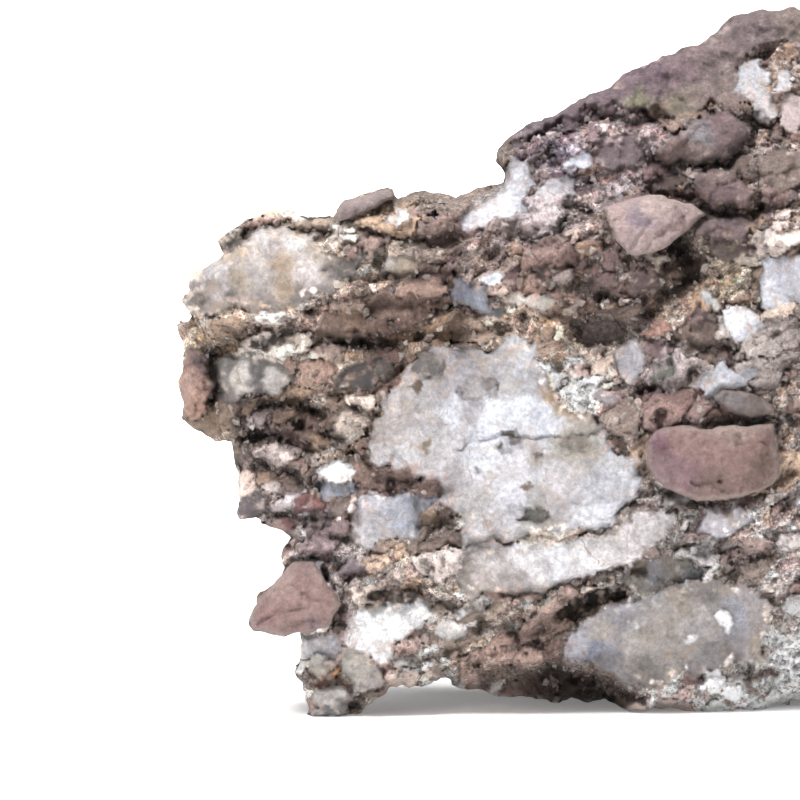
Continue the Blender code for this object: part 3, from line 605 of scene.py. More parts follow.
    (0.6, (0.0, 0.1), [(78, 50.8), (79.1, 52.6), (81.9, 54), (83, 52.8), (87.1, 53), (85.5, 50.1), (82.5, 50.1),
      (80, 48.7)], [(80, 51, "#D9DAE2"), (85, 51.6, "#D0D0D9")]),
    (0.4, (0.0, 0.0), [(84, 45.6), (88.4, 46), (89.4, 45), (86.4, 44.6)], "#E2E0E4"),
    (1.0, (0.0, 0.0), [(83, 95), (84.5, 99.3), (87.4, 99.6), (88.5, 96), (86.4, 93.5)],
     [(85, 97, "#BFC0C9"), (87, 95, "#CFC9CC")]),
    (1.0, (0.0, 0.0), [(86, 92), (86.6, 95.4), (89, 95.8), (89.6, 91.6), (88, 89.6)], "#C6C0C1"),
    (1.0, (0.0, 0.0), [(89.2, 94.4), (89.8, 97.2), (91.4, 97.4), (91.6, 94.6)], "#CFCBCF"),
    (0.6, (0.0, 0.0), [(89.8, 89.4), (90.6, 94), (94.6, 94.4), (96, 90.6), (93.3, 88.6)], "#C9B6B5"),
    (1.0, (0.0, 0.1), [(87, 71.6), (88.4, 73.6), (93.3, 74), (98, 73.4), (93.3, 71.2)], "#E9E1D8"),
    (0.6, (0.0, 0.0), [(78, 28.5), (79.4, 32), (84, 32.4), (86.4, 30), (83, 27.4)], "#C8C4CB"),
    (0.4, (0.0, 0.0), [(38.2, 13.0), (39.4, 14.8), (42.4, 14.9), (43.4, 13.2), (41, 12.2)], "#F3EDEA"),
    (0.9, (0.0, 0.0), [(80.2, 15.6), (81, 16.8), (82.4, 16.4), (83.4, 15), (82.6, 14), (81.2, 14.6)], "#FBF8F9"),
    (0.9, (0.0, 0.0), [(75.6, 12), (77, 12.8), (78.2, 12.4), (77.4, 11.4)], "#F6F2F2"),
    (0.9, (0.0, 0.0), [(67.8, 15), (69, 15.6), (69.6, 14.4), (68.6, 13.8)], "#E4DFE0"),
    (0.9, (0.0, 0.0), [(65.2, 16.4), (66.4, 16.8), (66.6, 15.8)], "#E9E4E4"),
    (1.0, (0.0, 0.0), [(25.7, 5), (27.2, 8), (30.2, 8.2), (31.4, 6.2), (28.8, 4.5)], "#C2BCBC"),
    (0.2, (0.0, 0.0), [(62, 48.5), (63.6, 50.6), (66.4, 49.4), (65.4, 46.8)], "#BDB6BA"),
    (1.0, (0.0, 0.0), [(19.2, 8.6), (20.6, 10.2), (22.9, 10.4), (23.4, 8.2), (22.4, 6.7), (19.8, 7)],
     [(20.4, 8.4, "#BDB6AB"), (22.2, 9.4, "#A09A96"), (21.4, 7.4, "#CFC5B9")]),
    (1.2, (0.0, 0.0), [(23.8, 6.8), (24.2, 10), (26.2, 11.6), (28.6, 9), (29.2, 6.6), (26.8, 5.7)],
     [(25.4, 9.6, "#B9B4AE"), (27.6, 7.8, "#C8C0B7"), (25.6, 7.2, "#9C968F"), (26.4, 8.6, "#D6D0CA")]),
    (1.4, (0.0, 0.0), [(22.8, 7.6), (23.5, 7.8), (23.9, 6.9), (23.1, 6.5)], "#F0A050"),
    (0.8, (0.0, 0.1), [(20.2, 3.2), (22, 4.9), (25, 4.9), (27.4, 3.4), (25.6, 2.2), (22, 2)],
     [(22, 3.6, "#C9C4C0"), (25, 3.6, "#DDD7D3"), (26.4, 3, "#B0A79F")]),
    (0.8, (0.0, 0.1), [(19.8, 0.4), (20.2, 2.2), (22.6, 2.6), (25.4, 2.4), (25.2, 1), (23.4, 0.3)],
     [(21, 1.2, "#A2A4A8"), (23.4, 1.4, "#8E9094"), (24.8, 1.8, "#B8B5B2")]),
    (0.4, (0.0, 0.0), [(72.6, 33), (74, 36.4), (77, 33.6), (76.2, 31.4)], "#D5CDCB"),
]

# Dark chert and grey stones flush in the cement. Two entries are not stones but painted shade in recesses under lips.
DARK_STONES_AND_PAINTED_SHADE = [
    (-0.8, (0.0, 0.1), [(6.2, 54.2), (8.3, 54.9), (11.5, 55.4), (13.8, 54.9), (15.7, 54), (17, 51.4), (15.9, 49.8),
      (13.4, 49.2), (8.8, 48.7), (6.2, 48.5), (5.8, 51.9)],
     [(9.9, 51.9, "#F4ECE4"), (9.6, 50.2, "#EFE6DE"), (14.2, 51.2, "#EAE4E0"), (14.6, 50.2, "#D9D3D0"),
      (7.4, 53.4, "#98948F"), (12, 53.8, "#7F7C7A"), (15.4, 53, "#76716E"), (11.9, 50, "#878381"),
      (7.2, 50, "#9C9694"), (12.1, 51.8, "#716D6C"), (7.6, 51.8, "#8A8682"), (16.4, 51.6, "#8B8580"),
      (13.6, 52.6, "#7C7876")]),
    (0.9, (0.0, 0.2), [(23.2, 51.7), (24.8, 53), (27.4, 53.7), (31.3, 54.7), (32.4, 53.7), (32.6, 52.4), (31, 51.2),
      (28.7, 50), (24.8, 49.8), (23.2, 50.3)], [(26, 51.6, "#4A413E"), (30, 53, "#5A514E"), (28, 51, "#443C3A")]),
    (1.4, (0.0, 0.0), [(35, 52.4), (35.8, 54.8), (38, 55.7), (39.7, 54.6), (39.4, 52.2), (37, 51)],
     [(37, 53.4, "#6E6866"), (38.6, 54.6, "#827C7A")]),
    (1.2, (0.0, 0.0), [(34.2, 50), (35, 51), (36.4, 50.6), (35.4, 49.4)], "#6B5748"),
    (1.6, (0.0, 0.0), [(47.8, 41.2), (48.4, 43.2), (50.4, 43.6), (51.5, 42.4), (50.8, 41), (49, 40.6)],
     [(49, 42.6, "#5E5450"), (50.6, 41.6, "#8D8483")]),
    (1.3, (0.0, 0.0), [(41.8, 49.6), (42.8, 51.6), (45.6, 52.2), (47.7, 51), (47, 49.2), (44.4, 48)],
     [(43, 50, "#A59D9C"), (45.4, 50.4, "#C6C0BF"), (46.8, 51, "#938A8C")]),
    (1.1, (0.0, 0.0), [(36.5, 40), (37, 42.4), (37.8, 42.9), (38.2, 41.6), (37.2, 39.7)], "#A08E78"),
    (0.6, (0.0, 0.0), [(46.7, 61.2), (47.6, 62.8), (49.9, 62.6), (49.2, 60.7)], "#6A6766"),
    (-2.2, (0.0, 0.5), [(66, 20.6), (69, 24), (76, 24.6), (80, 23.2), (79, 21.4), (73, 20.6), (69, 18.8)],
     [(72, 22, "#A3A5AE"), (77, 23, "#9B9B9F"), (69, 21.6, "#9C958B"), (74, 20.8, "#83827F"),
      (75, 23.8, "#B0A79C")]),
    # Not a stone: painted shadow in the recess above the lower right stone, under its lip.
    (-2.4, (0.0, 0.5), [(56.5, 16), (59, 18.8), (64, 20.2), (68, 19.4), (64, 17.6), (60.6, 15)], "#41362E"),
    # Not a stone: painted shade along the crevice under the proud lip above the white stone.
    (-0.2, (0.0, 0.3), [(27.3, 18.1), (29, 19.8), (34, 20.2), (36.4, 19.4), (35.6, 17.9), (30, 17.8)], "#5A514F"),
    (1.3, (0.0, 0.0), [(40.6, 55.4), (41.9, 55.9), (42.6, 55.2), (41.6, 54.7)], "#6C625B"),
    (1.3, (0.0, 0.0), [(52.8, 39.8), (53.8, 40.4), (54.5, 39.7), (53.6, 39.1)], "#7A6F66"),
    (1.3, (0.0, 0.0), [(43.6, 37.8), (44.4, 38.2), (45.2, 37.5), (44.4, 37)], "#776D66"),
    (1.3, (0.0, 0.0), [(51.2, 35.6), (52.4, 36.2), (53.4, 35.4), (52.4, 34.6)], "#8E7F70"),
    (0.2, (0.0, 0.0), [(50.6, 30.4), (52.6, 31.8), (55.8, 31.6), (56.2, 30.4), (53.6, 29.4)], "#7E7A70"),
    (0.2, (0.0, 0.0), [(56.8, 41.8), (59.4, 42.6), (62.4, 42.2), (61.6, 40.6), (58.6, 40.4)], "#8F887E"),
    (0.4, (0.0, 0.0), [(47.5, 82.6), (47.6, 85.6), (48.6, 86), (49.2, 84), (48.8, 82.4)], "#4E4D42"),
    (0.2, (0.2, 0.0), [(6, 71.9), (7.4, 73.1), (9.7, 74.4), (9.2, 72.2), (8.3, 70.9), (7.2, 70.6)], "#6A5F5A"),
]

# Mauve and brown mudstone bedded flush in the cement.
RED_STONES = [
    (3.6, (0.05, -0.25), [(71.3, 85.1), (75, 88.6), (79, 91.5), (83, 91.2), (85.4, 88.4), (84.8, 86.3), (82, 84.2),
      (77.7, 83.6), (72.9, 84.2)],
     [(74, 87.4, "#A08680"), (78.6, 88.6, "#9A9296"), (80, 90.6, "#8A7072"), (83.4, 87.5, "#7E6869"),
      (78, 85.2, "#94807C"), (76, 85, "#86706C")]),
    (2.6, (0.0, 0.1), [(77.1, 80.7), (79.6, 82.9), (83.6, 82.3), (86, 79.2), (85.1, 76.9), (80.5, 77.4),
      (77.4, 78.9)], [(82, 80.5, "#796264"), (79, 79, "#6F595A"), (85, 80, "#8A7270"), (80.4, 82, "#907A76")]),
    (1.6, (0.05, -0.4), [(66, 64.8), (67.6, 66.6), (70.1, 68), (72, 67.3), (72, 64.3), (68.3, 63.6)], "#7C6865"),
    (1.6, (0.0, -0.2), [(64.2, 60.6), (62.3, 61.8), (67.2, 62.9), (70.1, 63.2), (68.8, 62), (66.5, 60.9)],
     "#79635D"),
    (0.8, (0.0, 0.2), [(24.2, 22.4), (25.4, 24.3), (28.2, 24.4), (28.8, 22.6), (26.4, 21.9)], "#A3929A"),
    (1.0, (-0.4, 0.0), [(0.8, 46.4), (0.3, 49.2), (0.4, 51.4), (0.7, 53.5), (1.4, 55.6), (3, 55.4), (4.4, 54.4),
      (4.8, 50), (4.2, 46.4), (2.6, 45.2)],
     [(1.8, 51, "#C3A095"), (2.4, 47, "#C9A18F"), (3.4, 54, "#7F6A6C"), (2, 53, "#B58F83")]),
    (0.8, (0.0, 0.1), [(10.1, 55.8), (12.9, 57.9), (16.1, 59.3), (17.3, 58.4), (17, 56.7), (13.4, 55.8)], "#A79C98"),
    (1.6, (0.1, 0.2), [(20, 57.6), (21.4, 60.8), (24.6, 62), (28.5, 61.6), (28, 58.6), (25.6, 57), (22.4, 56.9)],
     [(23, 60, "#8E7466"), (26, 59, "#A08575")]),
    (1.2, (0.0, 0.1), [(20.5, 56), (22.5, 57), (25.8, 56.5), (24.8, 54.4), (22.5, 54)], "#C4ABA0"),
    (1.8, (0.0, 0.15), [(32.6, 64), (33.4, 65.4), (36, 66.6), (38.8, 66.4), (40, 65.5), (39.9, 64.2), (37.8, 63.6)],
     [(34, 65, "#C7A597"), (38, 65.4, "#C0A092")]),
    (1.4, (0.0, 0.1), [(28, 62.4), (31, 64.4), (35, 63.6), (37, 62.2), (33, 60.6), (29, 60.6)], "#AC9083"),
    (0.8, (0.0, 0.0), [(34.7, 76), (35.6, 77.2), (36.9, 77), (36.4, 75.8)], "#B79A98"),
    (0.8, (0.0, 0.0), [(48.2, 66), (48.6, 68.2), (51, 68.4), (51.7, 66.4), (50.4, 65)], "#8E7173"),
    (1.0, (0.0, 0.2), [(52.2, 68.2), (54.1, 67.7), (56.6, 65.7), (56.6, 64.7), (53.4, 66.7)], "#8E8884"),
    (1.6, (0.0, 0.0), [(70.1, 58.6), (71.1, 59.5), (73.4, 59.6), (74.3, 58.6), (73.4, 57.7), (71.1, 57.9)],
     "#C89A8B"),
    (1.2, (0.0, 0.0), [(69.2, 55.6), (70.6, 57.2), (74.6, 57), (75.4, 55.6), (72.4, 54.6)], "#9B8283"),
    (0.8, (0.0, 0.0), [(70.6, 51.6), (71.4, 54), (74.2, 54.2), (74.7, 52), (72.6, 50.8)], "#8A8A80"),
    (1.2, (-0.3, 0.0), [(9.2, 30.9), (9.4, 33.6), (11, 34.6), (13.2, 33.4), (13, 31), (11.6, 30.5)], "#7C7072"),
    (0.8, (0.0, 0.3), [(16.8, 32), (17.6, 33.8), (20.4, 34), (22.3, 33), (21.4, 31.6), (18.4, 31.3)], "#9A6E6B"),
    (0.8, (0.0, 0.3), [(14.8, 29.2), (15.6, 30.6), (17.4, 30.6), (17.5, 29), (16.2, 28.5)], "#9C7370"),
    (2.0, (0.0, 0.0), [(86.6, 80.6), (86.8, 85), (90, 86.2), (94, 84.6), (93.6, 80.6), (90, 79.6)],
     [(88, 83, "#8F7C75"), (92, 82, "#9A877E")]),
    (1.4, (0.0, 0.3), [(77, 73.6), (79, 75.4), (84, 76), (87, 74.6), (85, 72.4), (80, 71.6)], "#7E6A6B"),
    (1.2, (0.0, 0.3), [(79, 70.6), (81, 72), (86, 71.8), (86, 69.8), (82, 69.2)], "#6D5C58"),
    (1.0, (0.0, 0.0), [(62, 84), (64, 88), (69, 88.4), (70, 85), (66, 82.6)], "#7C6C70"),
    (1.6, (0.1, 0.1), [(75.4, 56.4), (76, 60.6), (77.8, 63), (79.9, 61.4), (81.4, 58.6), (79.8, 56), (77.2, 55)],
     [(77.6, 61.6, "#7B686B"), (79.4, 58.6, "#8F7A72"), (77, 57.4, "#A08A7E")]),
    (1.0, (0.0, 0.1), [(18.8, 5.3), (19.4, 6.6), (22.6, 6.3), (26, 5.6), (25.8, 4.9), (21.8, 4.9)], "#7A5444"),
]

# The weathered mudstone that caps the right-hand summit, a broad smooth mass in the sheet.
CAP = [
    (1.4, (0.0, 0.0), [(49.6, 86.6), (53.5, 90), (58.5, 92.9), (64, 94.8), (67.5, 98.2), (71.5, 100), (75, 100.9),
      (80.5, 103.8), (83.5, 106.2), (93, 107.6), (101, 107), (103, 100), (96, 101.6), (93.3, 102.2), (88, 101.6),
      (85.1, 99.8), (83.6, 97.7), (85.1, 94.5), (83, 92.2), (79, 92.6), (75.9, 90), (72.9, 91.2), (66.7, 92.4),
      (61.2, 91.8), (57.5, 90.4), (52, 87.6)],
     [(55, 89.6, "#86767C"), (60, 92, "#75656B"), (66, 95, "#7E6A71"), (71, 97, "#7A656D"), (75, 97.5, "#887277"),
      (69.5, 92.2, "#86806C"), (74, 92.4, "#857A6C"), (80, 98, "#857472"), (86, 103.5, "#7D6C6D"),
      (80, 94, "#8C7A76"), (93, 104.5, "#8B7B75"), (99, 103, "#85756F")]),
]

# Crevices and slots: how deep, how wide, and where each runs.
CREVICES = [
    (2.6, 1.0, [(6.3, 71.2), (10, 73.9), (13, 75), (17.5, 74.2), (22.2, 73.3)]),
    (3.0, 1.6, [(5, 55.6), (9, 57), (13.7, 57.9), (16.7, 59.2)]), (2.6, 0.9, [(5.3, 55.2), (5.5, 51.8), (6, 48.6)]),
    (3.6, 1.5, [(13.4, 47.2), (16.2, 48), (18.6, 47.4), (20.9, 46.6)]),
    (2.4, 1.0, [(19.6, 58), (22.8, 57.6), (25.6, 56.8), (28.6, 57.4)]),
    (2.6, 0.9, [(19.8, 61.8), (21.9, 63.2), (23.2, 63.4)]),
    (1.8, 0.8, [(23, 49.4), (27, 49.2), (31, 50.4), (33.6, 53.4)]),
    (1.8, 1.1, [(24.3, 57.0), (29.2, 56.8), (34.4, 57), (38.6, 58.4), (44.5, 58.3), (48.8, 59.4)]),
    (1.6, 0.6, [(43.8, 26.6), (47.8, 27.4), (51.9, 27.3), (60.1, 28.1), (65, 29.7), (69.8, 34), (75.3, 34.4)]),
    (0.7, 0.35, [(41.9, 40.9), (45.1, 42.5), (47.1, 42.8), (51.6, 42.2), (53.6, 42), (56.9, 42.8), (61.7, 42.8),
     (64, 43.8)]),
    (1.6, 0.9, [(30.2, 36.8), (33.9, 36.2), (39.9, 34.9)]), (0.8, 0.4, [(36.1, 34.4), (36.6, 31.8), (36.2, 28)]),
    (2.6, 2.0, [(37.6, 29.8), (40.4, 29.3), (41.6, 28.2)]),
    (2.6, 0.9, [(28.4, 17.4), (29.4, 18.8), (31.9, 20.5), (35.7, 20.3), (38.3, 18), (42.2, 17.1)]),
    (2.0, 0.8, [(43.6, 17.3), (48.6, 18.2), (53.3, 18.8), (56.3, 19.9), (61, 21), (65.4, 22.4), (69.4, 23.2)]),
    (2.6, 1.4, [(54.6, 14.2), (57.6, 16.2), (61.4, 18.6), (66, 19.4)]), (2.2, 1.2, [(25.2, 2.2), (26.2, 2.3)]),
    (1.6, 0.7, [(25.5, 21.2), (28.1, 22.5), (31, 22.3)]), (1.8, 0.7, [(18, 24.3), (21.7, 24.9), (23.6, 24)]),
    (1.8, 0.8, [(22, 21.9), (25.1, 18.5), (24.6, 15.6), (23.3, 13.6)]),
    (1.6, 0.7, [(18.6, 6.2), (21.4, 5.6), (25.8, 5.0)]), (2.6, 1.2, [(14.4, 31.4), (18, 30.8), (22.6, 30.2)]),
    (2.2, 1.0, [(9.6, 42.4), (13, 43.2), (16.6, 42.2), (20, 40.2)]),
    (2.0, 0.9, [(9, 38.4), (13, 38.9), (17, 37.2), (20.6, 35.4)]),
    (1.8, 0.8, [(17, 45.2), (21.6, 43.6), (25.6, 41.4), (28.4, 38.6)]),
    (2.2, 1.0, [(14.4, 27), (18.4, 26.9), (22.4, 28.2), (25.8, 27.4)]),
    (3.2, 1.1, [(75.3, 78.8), (79, 77.2), (81.4, 76.1), (85.6, 75.8)]),
    (3.4, 1.0, [(71.4, 84.3), (77.7, 83.1), (82, 83.8), (85.4, 86.6), (87, 90.4)]),
    (5.0, 2.2, [(73.4, 73.0), (75.4, 71.4), (76.6, 69.6)]),
    (2.6, 1.1, [(62.4, 91.0), (65.4, 90.4), (68.3, 89.7), (72, 90.6)]), (2.8, 1.0, [(53.9, 88.3), (56.9, 89.5)]),
    (2.0, 1.2, [(58.4, 80.9), (61.8, 80.2)]), (2.0, 1.0, [(62.9, 75.6), (61, 77), (58.4, 77.6)]),
    (2.2, 1.2, [(66, 63.6), (62.4, 64.6), (59.6, 66.2)]), (2.6, 1.4, [(50, 73.2), (53.4, 72.2), (57, 72.8)]),
    (2.2, 1.0, [(33, 72.6), (37, 72), (41, 72.8)]), (2.0, 0.9, [(24.4, 74.9), (28, 74), (31, 72.2)]),
    (2.4, 1.0, [(29, 66.2), (32.4, 66.6), (37, 67), (40.4, 67.4)]),
    (1.8, 0.8, [(28.6, 62), (33, 62.6), (38.4, 62.8)]), (2.0, 0.8, [(52.2, 60.6), (56.4, 60.6), (59.4, 60.9)]),
    (2.6, 1.2, [(70.2, 63.2), (74, 64.2), (76.8, 66.4)]),
    (2.2, 0.9, [(69, 49.9), (72.4, 50.2), (75.8, 50.8), (77.6, 53)]),
    (2.2, 0.9, [(76.8, 56.8), (79.6, 56), (83, 56)]),
    (2.8, 1.0, [(70, 37.4), (72.4, 34.8), (76, 32.8), (82, 32.6), (88, 34.2), (91.4, 37.4)]),
    (2.2, 0.9, [(80, 45), (84.6, 45.4), (89.6, 45.2)]), (2.6, 1.2, [(78, 26.2), (83, 25.4), (90, 25.2)]),
    (2.0, 0.9, [(52, 7.6), (57, 7.8), (62, 6.6), (66, 5.2), (70, 3.8)]),
    (2.0, 0.9, [(77, 6.2), (82, 6.8), (88.4, 7.4)]), (2.0, 1.0, [(46, 14.9), (50, 13.6), (54, 13.2)]),
    (1.6, 0.8, [(33.6, 9.8), (38, 9.4), (42.6, 10.8)]),
]

# Ledges and swells: how high, how wide, and where each runs.
LEDGES = [
    (2.2, 1.3, [(-1, 59.6), (2, 60.6), (5, 60.9), (11, 60.4), (16.2, 60.8), (19.4, 62.3), (23.7, 63.7),
     (28.6, 66.0)]),
    (1.8, 1.2, [(9.8, 75.6), (13, 76.2), (17, 75.6), (22, 74.8)]), (1.6, 1.6, [(36, 74.6), (41, 75.4), (43, 77.4)]),
    (1.4, 1.4, [(22, 46.4), (26, 45.2), (28.6, 43.8)]), (1.6, 1.2, [(9.4, 40.6), (14, 41.2), (19, 38.4)]),
    (1.4, 1.2, [(15.6, 25.4), (20, 26.6), (24, 26)]),
    (1.8, 1.4, [(30, 6.6), (35, 6.8), (38.6, 7.9), (44.6, 7.2), (48, 8.6)]),
    (1.8, 1.0, [(47, 9.6), (52, 9.8), (57, 9.6), (62, 8.2), (66, 6.8), (70, 5.4), (74, 5.6)]),
    (1.2, 1.0, [(41, 27.4), (44, 28.4), (47, 27.9)]), (1.6, 1.6, [(30, 23.6), (36, 24.4), (40.6, 24.6)]),
    (1.6, 1.4, [(54.4, 59.8), (57.6, 55), (59.6, 51), (64, 47.6)]), (1.6, 1.6, [(50, 70.6), (56, 70), (60, 72.6)]),
    (1.4, 1.4, [(29, 71.6), (34, 71.2), (40, 70.2)]), (2.0, 2.0, [(60, 86.6), (66, 89.0), (71, 88.4)]),
    (1.6, 2.0, [(77, 60), (79, 57.6), (77.6, 55)]), (1.4, 1.4, [(66, 44.6), (69.6, 46.4), (74, 47)]),
]

# Hollows where stones have dropped out, darkened with painted shade as deep as they are: middle, length, height, turn
# in degrees, and depth.
HOLLOWS = [
    (62.8, 58.7, 9.5, 5.2, -4, 4.5), (74.6, 71.4, 3.4, 5.4, 30, 3.0), (19, 47.4, 9, 2.4, -14, 1.6),
    (48.2, 69.8, 4, 3, 0, 1.8), (71.2, 61.6, 4.4, 2.4, 10, 2.0), (39.4, 29.3, 4.4, 2.6, -8, 1.6),
    (26.2, 2.1, 3, 2, 0, 1.6), (57, 5.4, 20, 4.4, -5, 2.4), (66.5, 3.9, 8, 2.6, -8, 2.4),
    (44.4, 9.4, 3.4, 2.4, 0, 1.0), (91.6, 33.6, 5, 3, 20, 2.6), (88.6, 77, 5, 3.4, 0, 2.0),
    (34.4, 58.6, 6, 2.2, 6, 1.6), (59.4, 75.4, 4, 3, 30, 1.8), (22.6, 67.6, 3, 1.6, 0, 0.8),
]

# The cement's colour from place to place. The pale zones at (78, 4) and (90, 5) are painted bounce light on the lower
# faces that turn down to the table, and the dark zone at (58, 5.4) is painted shade in the undercut below the lower
# lip.
ZONES = [
    (6, 59, "#A89684"), (14, 59.4, "#BCAA9C"), (19, 60.5, "#A8968B"), (4, 43.6, "#8B7A6A"), (12, 46, "#5A4E4A"),
    (16, 38, "#7D6F69"), (14, 26, "#8F817C"), (20, 28, "#A79C9D"), (24, 43, "#7C6E63"), (24, 47.6, "#8F7F73"),
    (18.6, 58, "#C0AE9F"), (22, 71.6, "#9D9084"), (14, 76, "#C4B6A8"), (22, 75, "#B0A194"), (30, 58, "#6E5B4E"),
    (36, 60, "#7F6C5E"), (37, 74, "#8A7B70"), (45, 70, "#7A6A64"), (57, 52, "#F0DED2"), (60, 48.6, "#EAD9CD"),
    (63.4, 49.6, "#E4D6CC"), (54.6, 56, "#CCB8A8"), (55.4, 57.4, "#A08A78"), (60, 61, "#5F5048"),
    (60, 70, "#75655F"), (57, 76, "#8C7E7C"), (56, 86, "#776B73"), (66, 87, "#7F7071"), (66, 47, "#93857F"),
    (76, 48, "#917F78"), (72, 53, "#8F817E"), (76, 62, "#857468"), (81, 66, "#8F8171"), (78, 68, "#66594E"),
    (86, 88, "#7E6E68"), (91, 77, "#8A7A72"), (88, 91, "#85746B"), (91, 97, "#82726A"), (92, 55, "#988981"),
    (92, 30, "#A99B94"), (74, 26, "#8A8480"), (36, 22.6, "#9A8B82"), (48, 14, "#BFB1A5"), (52, 9, "#9C8E84"),
    (58, 5.4, "#5D5048"), (42, 10.4, "#A8998C"), (32, 25, "#A79890"), (23, 4, "#A39A92"), (29, 3, "#9F9186"),
    (36, 7, "#DDD2CA"), (40, 8, "#E0D6CE"), (33, 8.6, "#D8CCC2"), (78, 4, "#E4D9D4"), (90, 5, "#EEE4DF"),
    (88, 24, "#A89C97"), (80, 57, "#8C8078"),
]

FRAGMENT_COLOURS = ["#8A7572", "#7E6765", "#6F5D5F", "#BDB2AE", "#C9C5C9", "#A5A2A6", "#6E615B", "#A08B79", "#584B46"]
FLANK_BROWN = np.array(linear("#8A7B71")[:3])
# In mm: the step of the sheet's mesh, its deepest relief, and how far its walls are sunk in the solid.
SHEET_STEP, MOST_RELIEF, SUNK = 0.325, 6.5, 1.5


def near_box(u, v, points, margin):
    """Which places lie within that margin of the points' box."""
    low, high = np.min(points, axis=0) - margin, np.max(points, axis=0) + margin
    return np.nonzero((u > low[0]) & (u < high[0]) & (v > low[1]) & (v < high[1]))[0]


def oval_reach(u, v, centre_u, centre_v, length, width, turn):
    """How far out places lie from the middle of an oval whose edge is at 1."""
    c, s = math.cos(math.radians(turn)), math.sin(math.radians(turn))
    along = np.abs((u - centre_u) * c + (v - centre_v) * s) / (length / 2)
    across = np.abs((v - centre_v) * c - (u - centre_u) * s) / (width / 2)
    return np.hypot(along, across)


# About where the face ends, past the picture's right edge.
SEAM_U = 99.6


def past_seam(u, v):
    """How far places lie past the wandering line where the face dives under the rock's unseen end."""
    line = np.column_stack([0.3 * u, np.full(len(u), 7.0), v])
    return u - SEAM_U - np.clip(7.5 * rough(line, 16, 2) + 2.0 * rough(line, 3.5, 2), -4.2, 3.2)


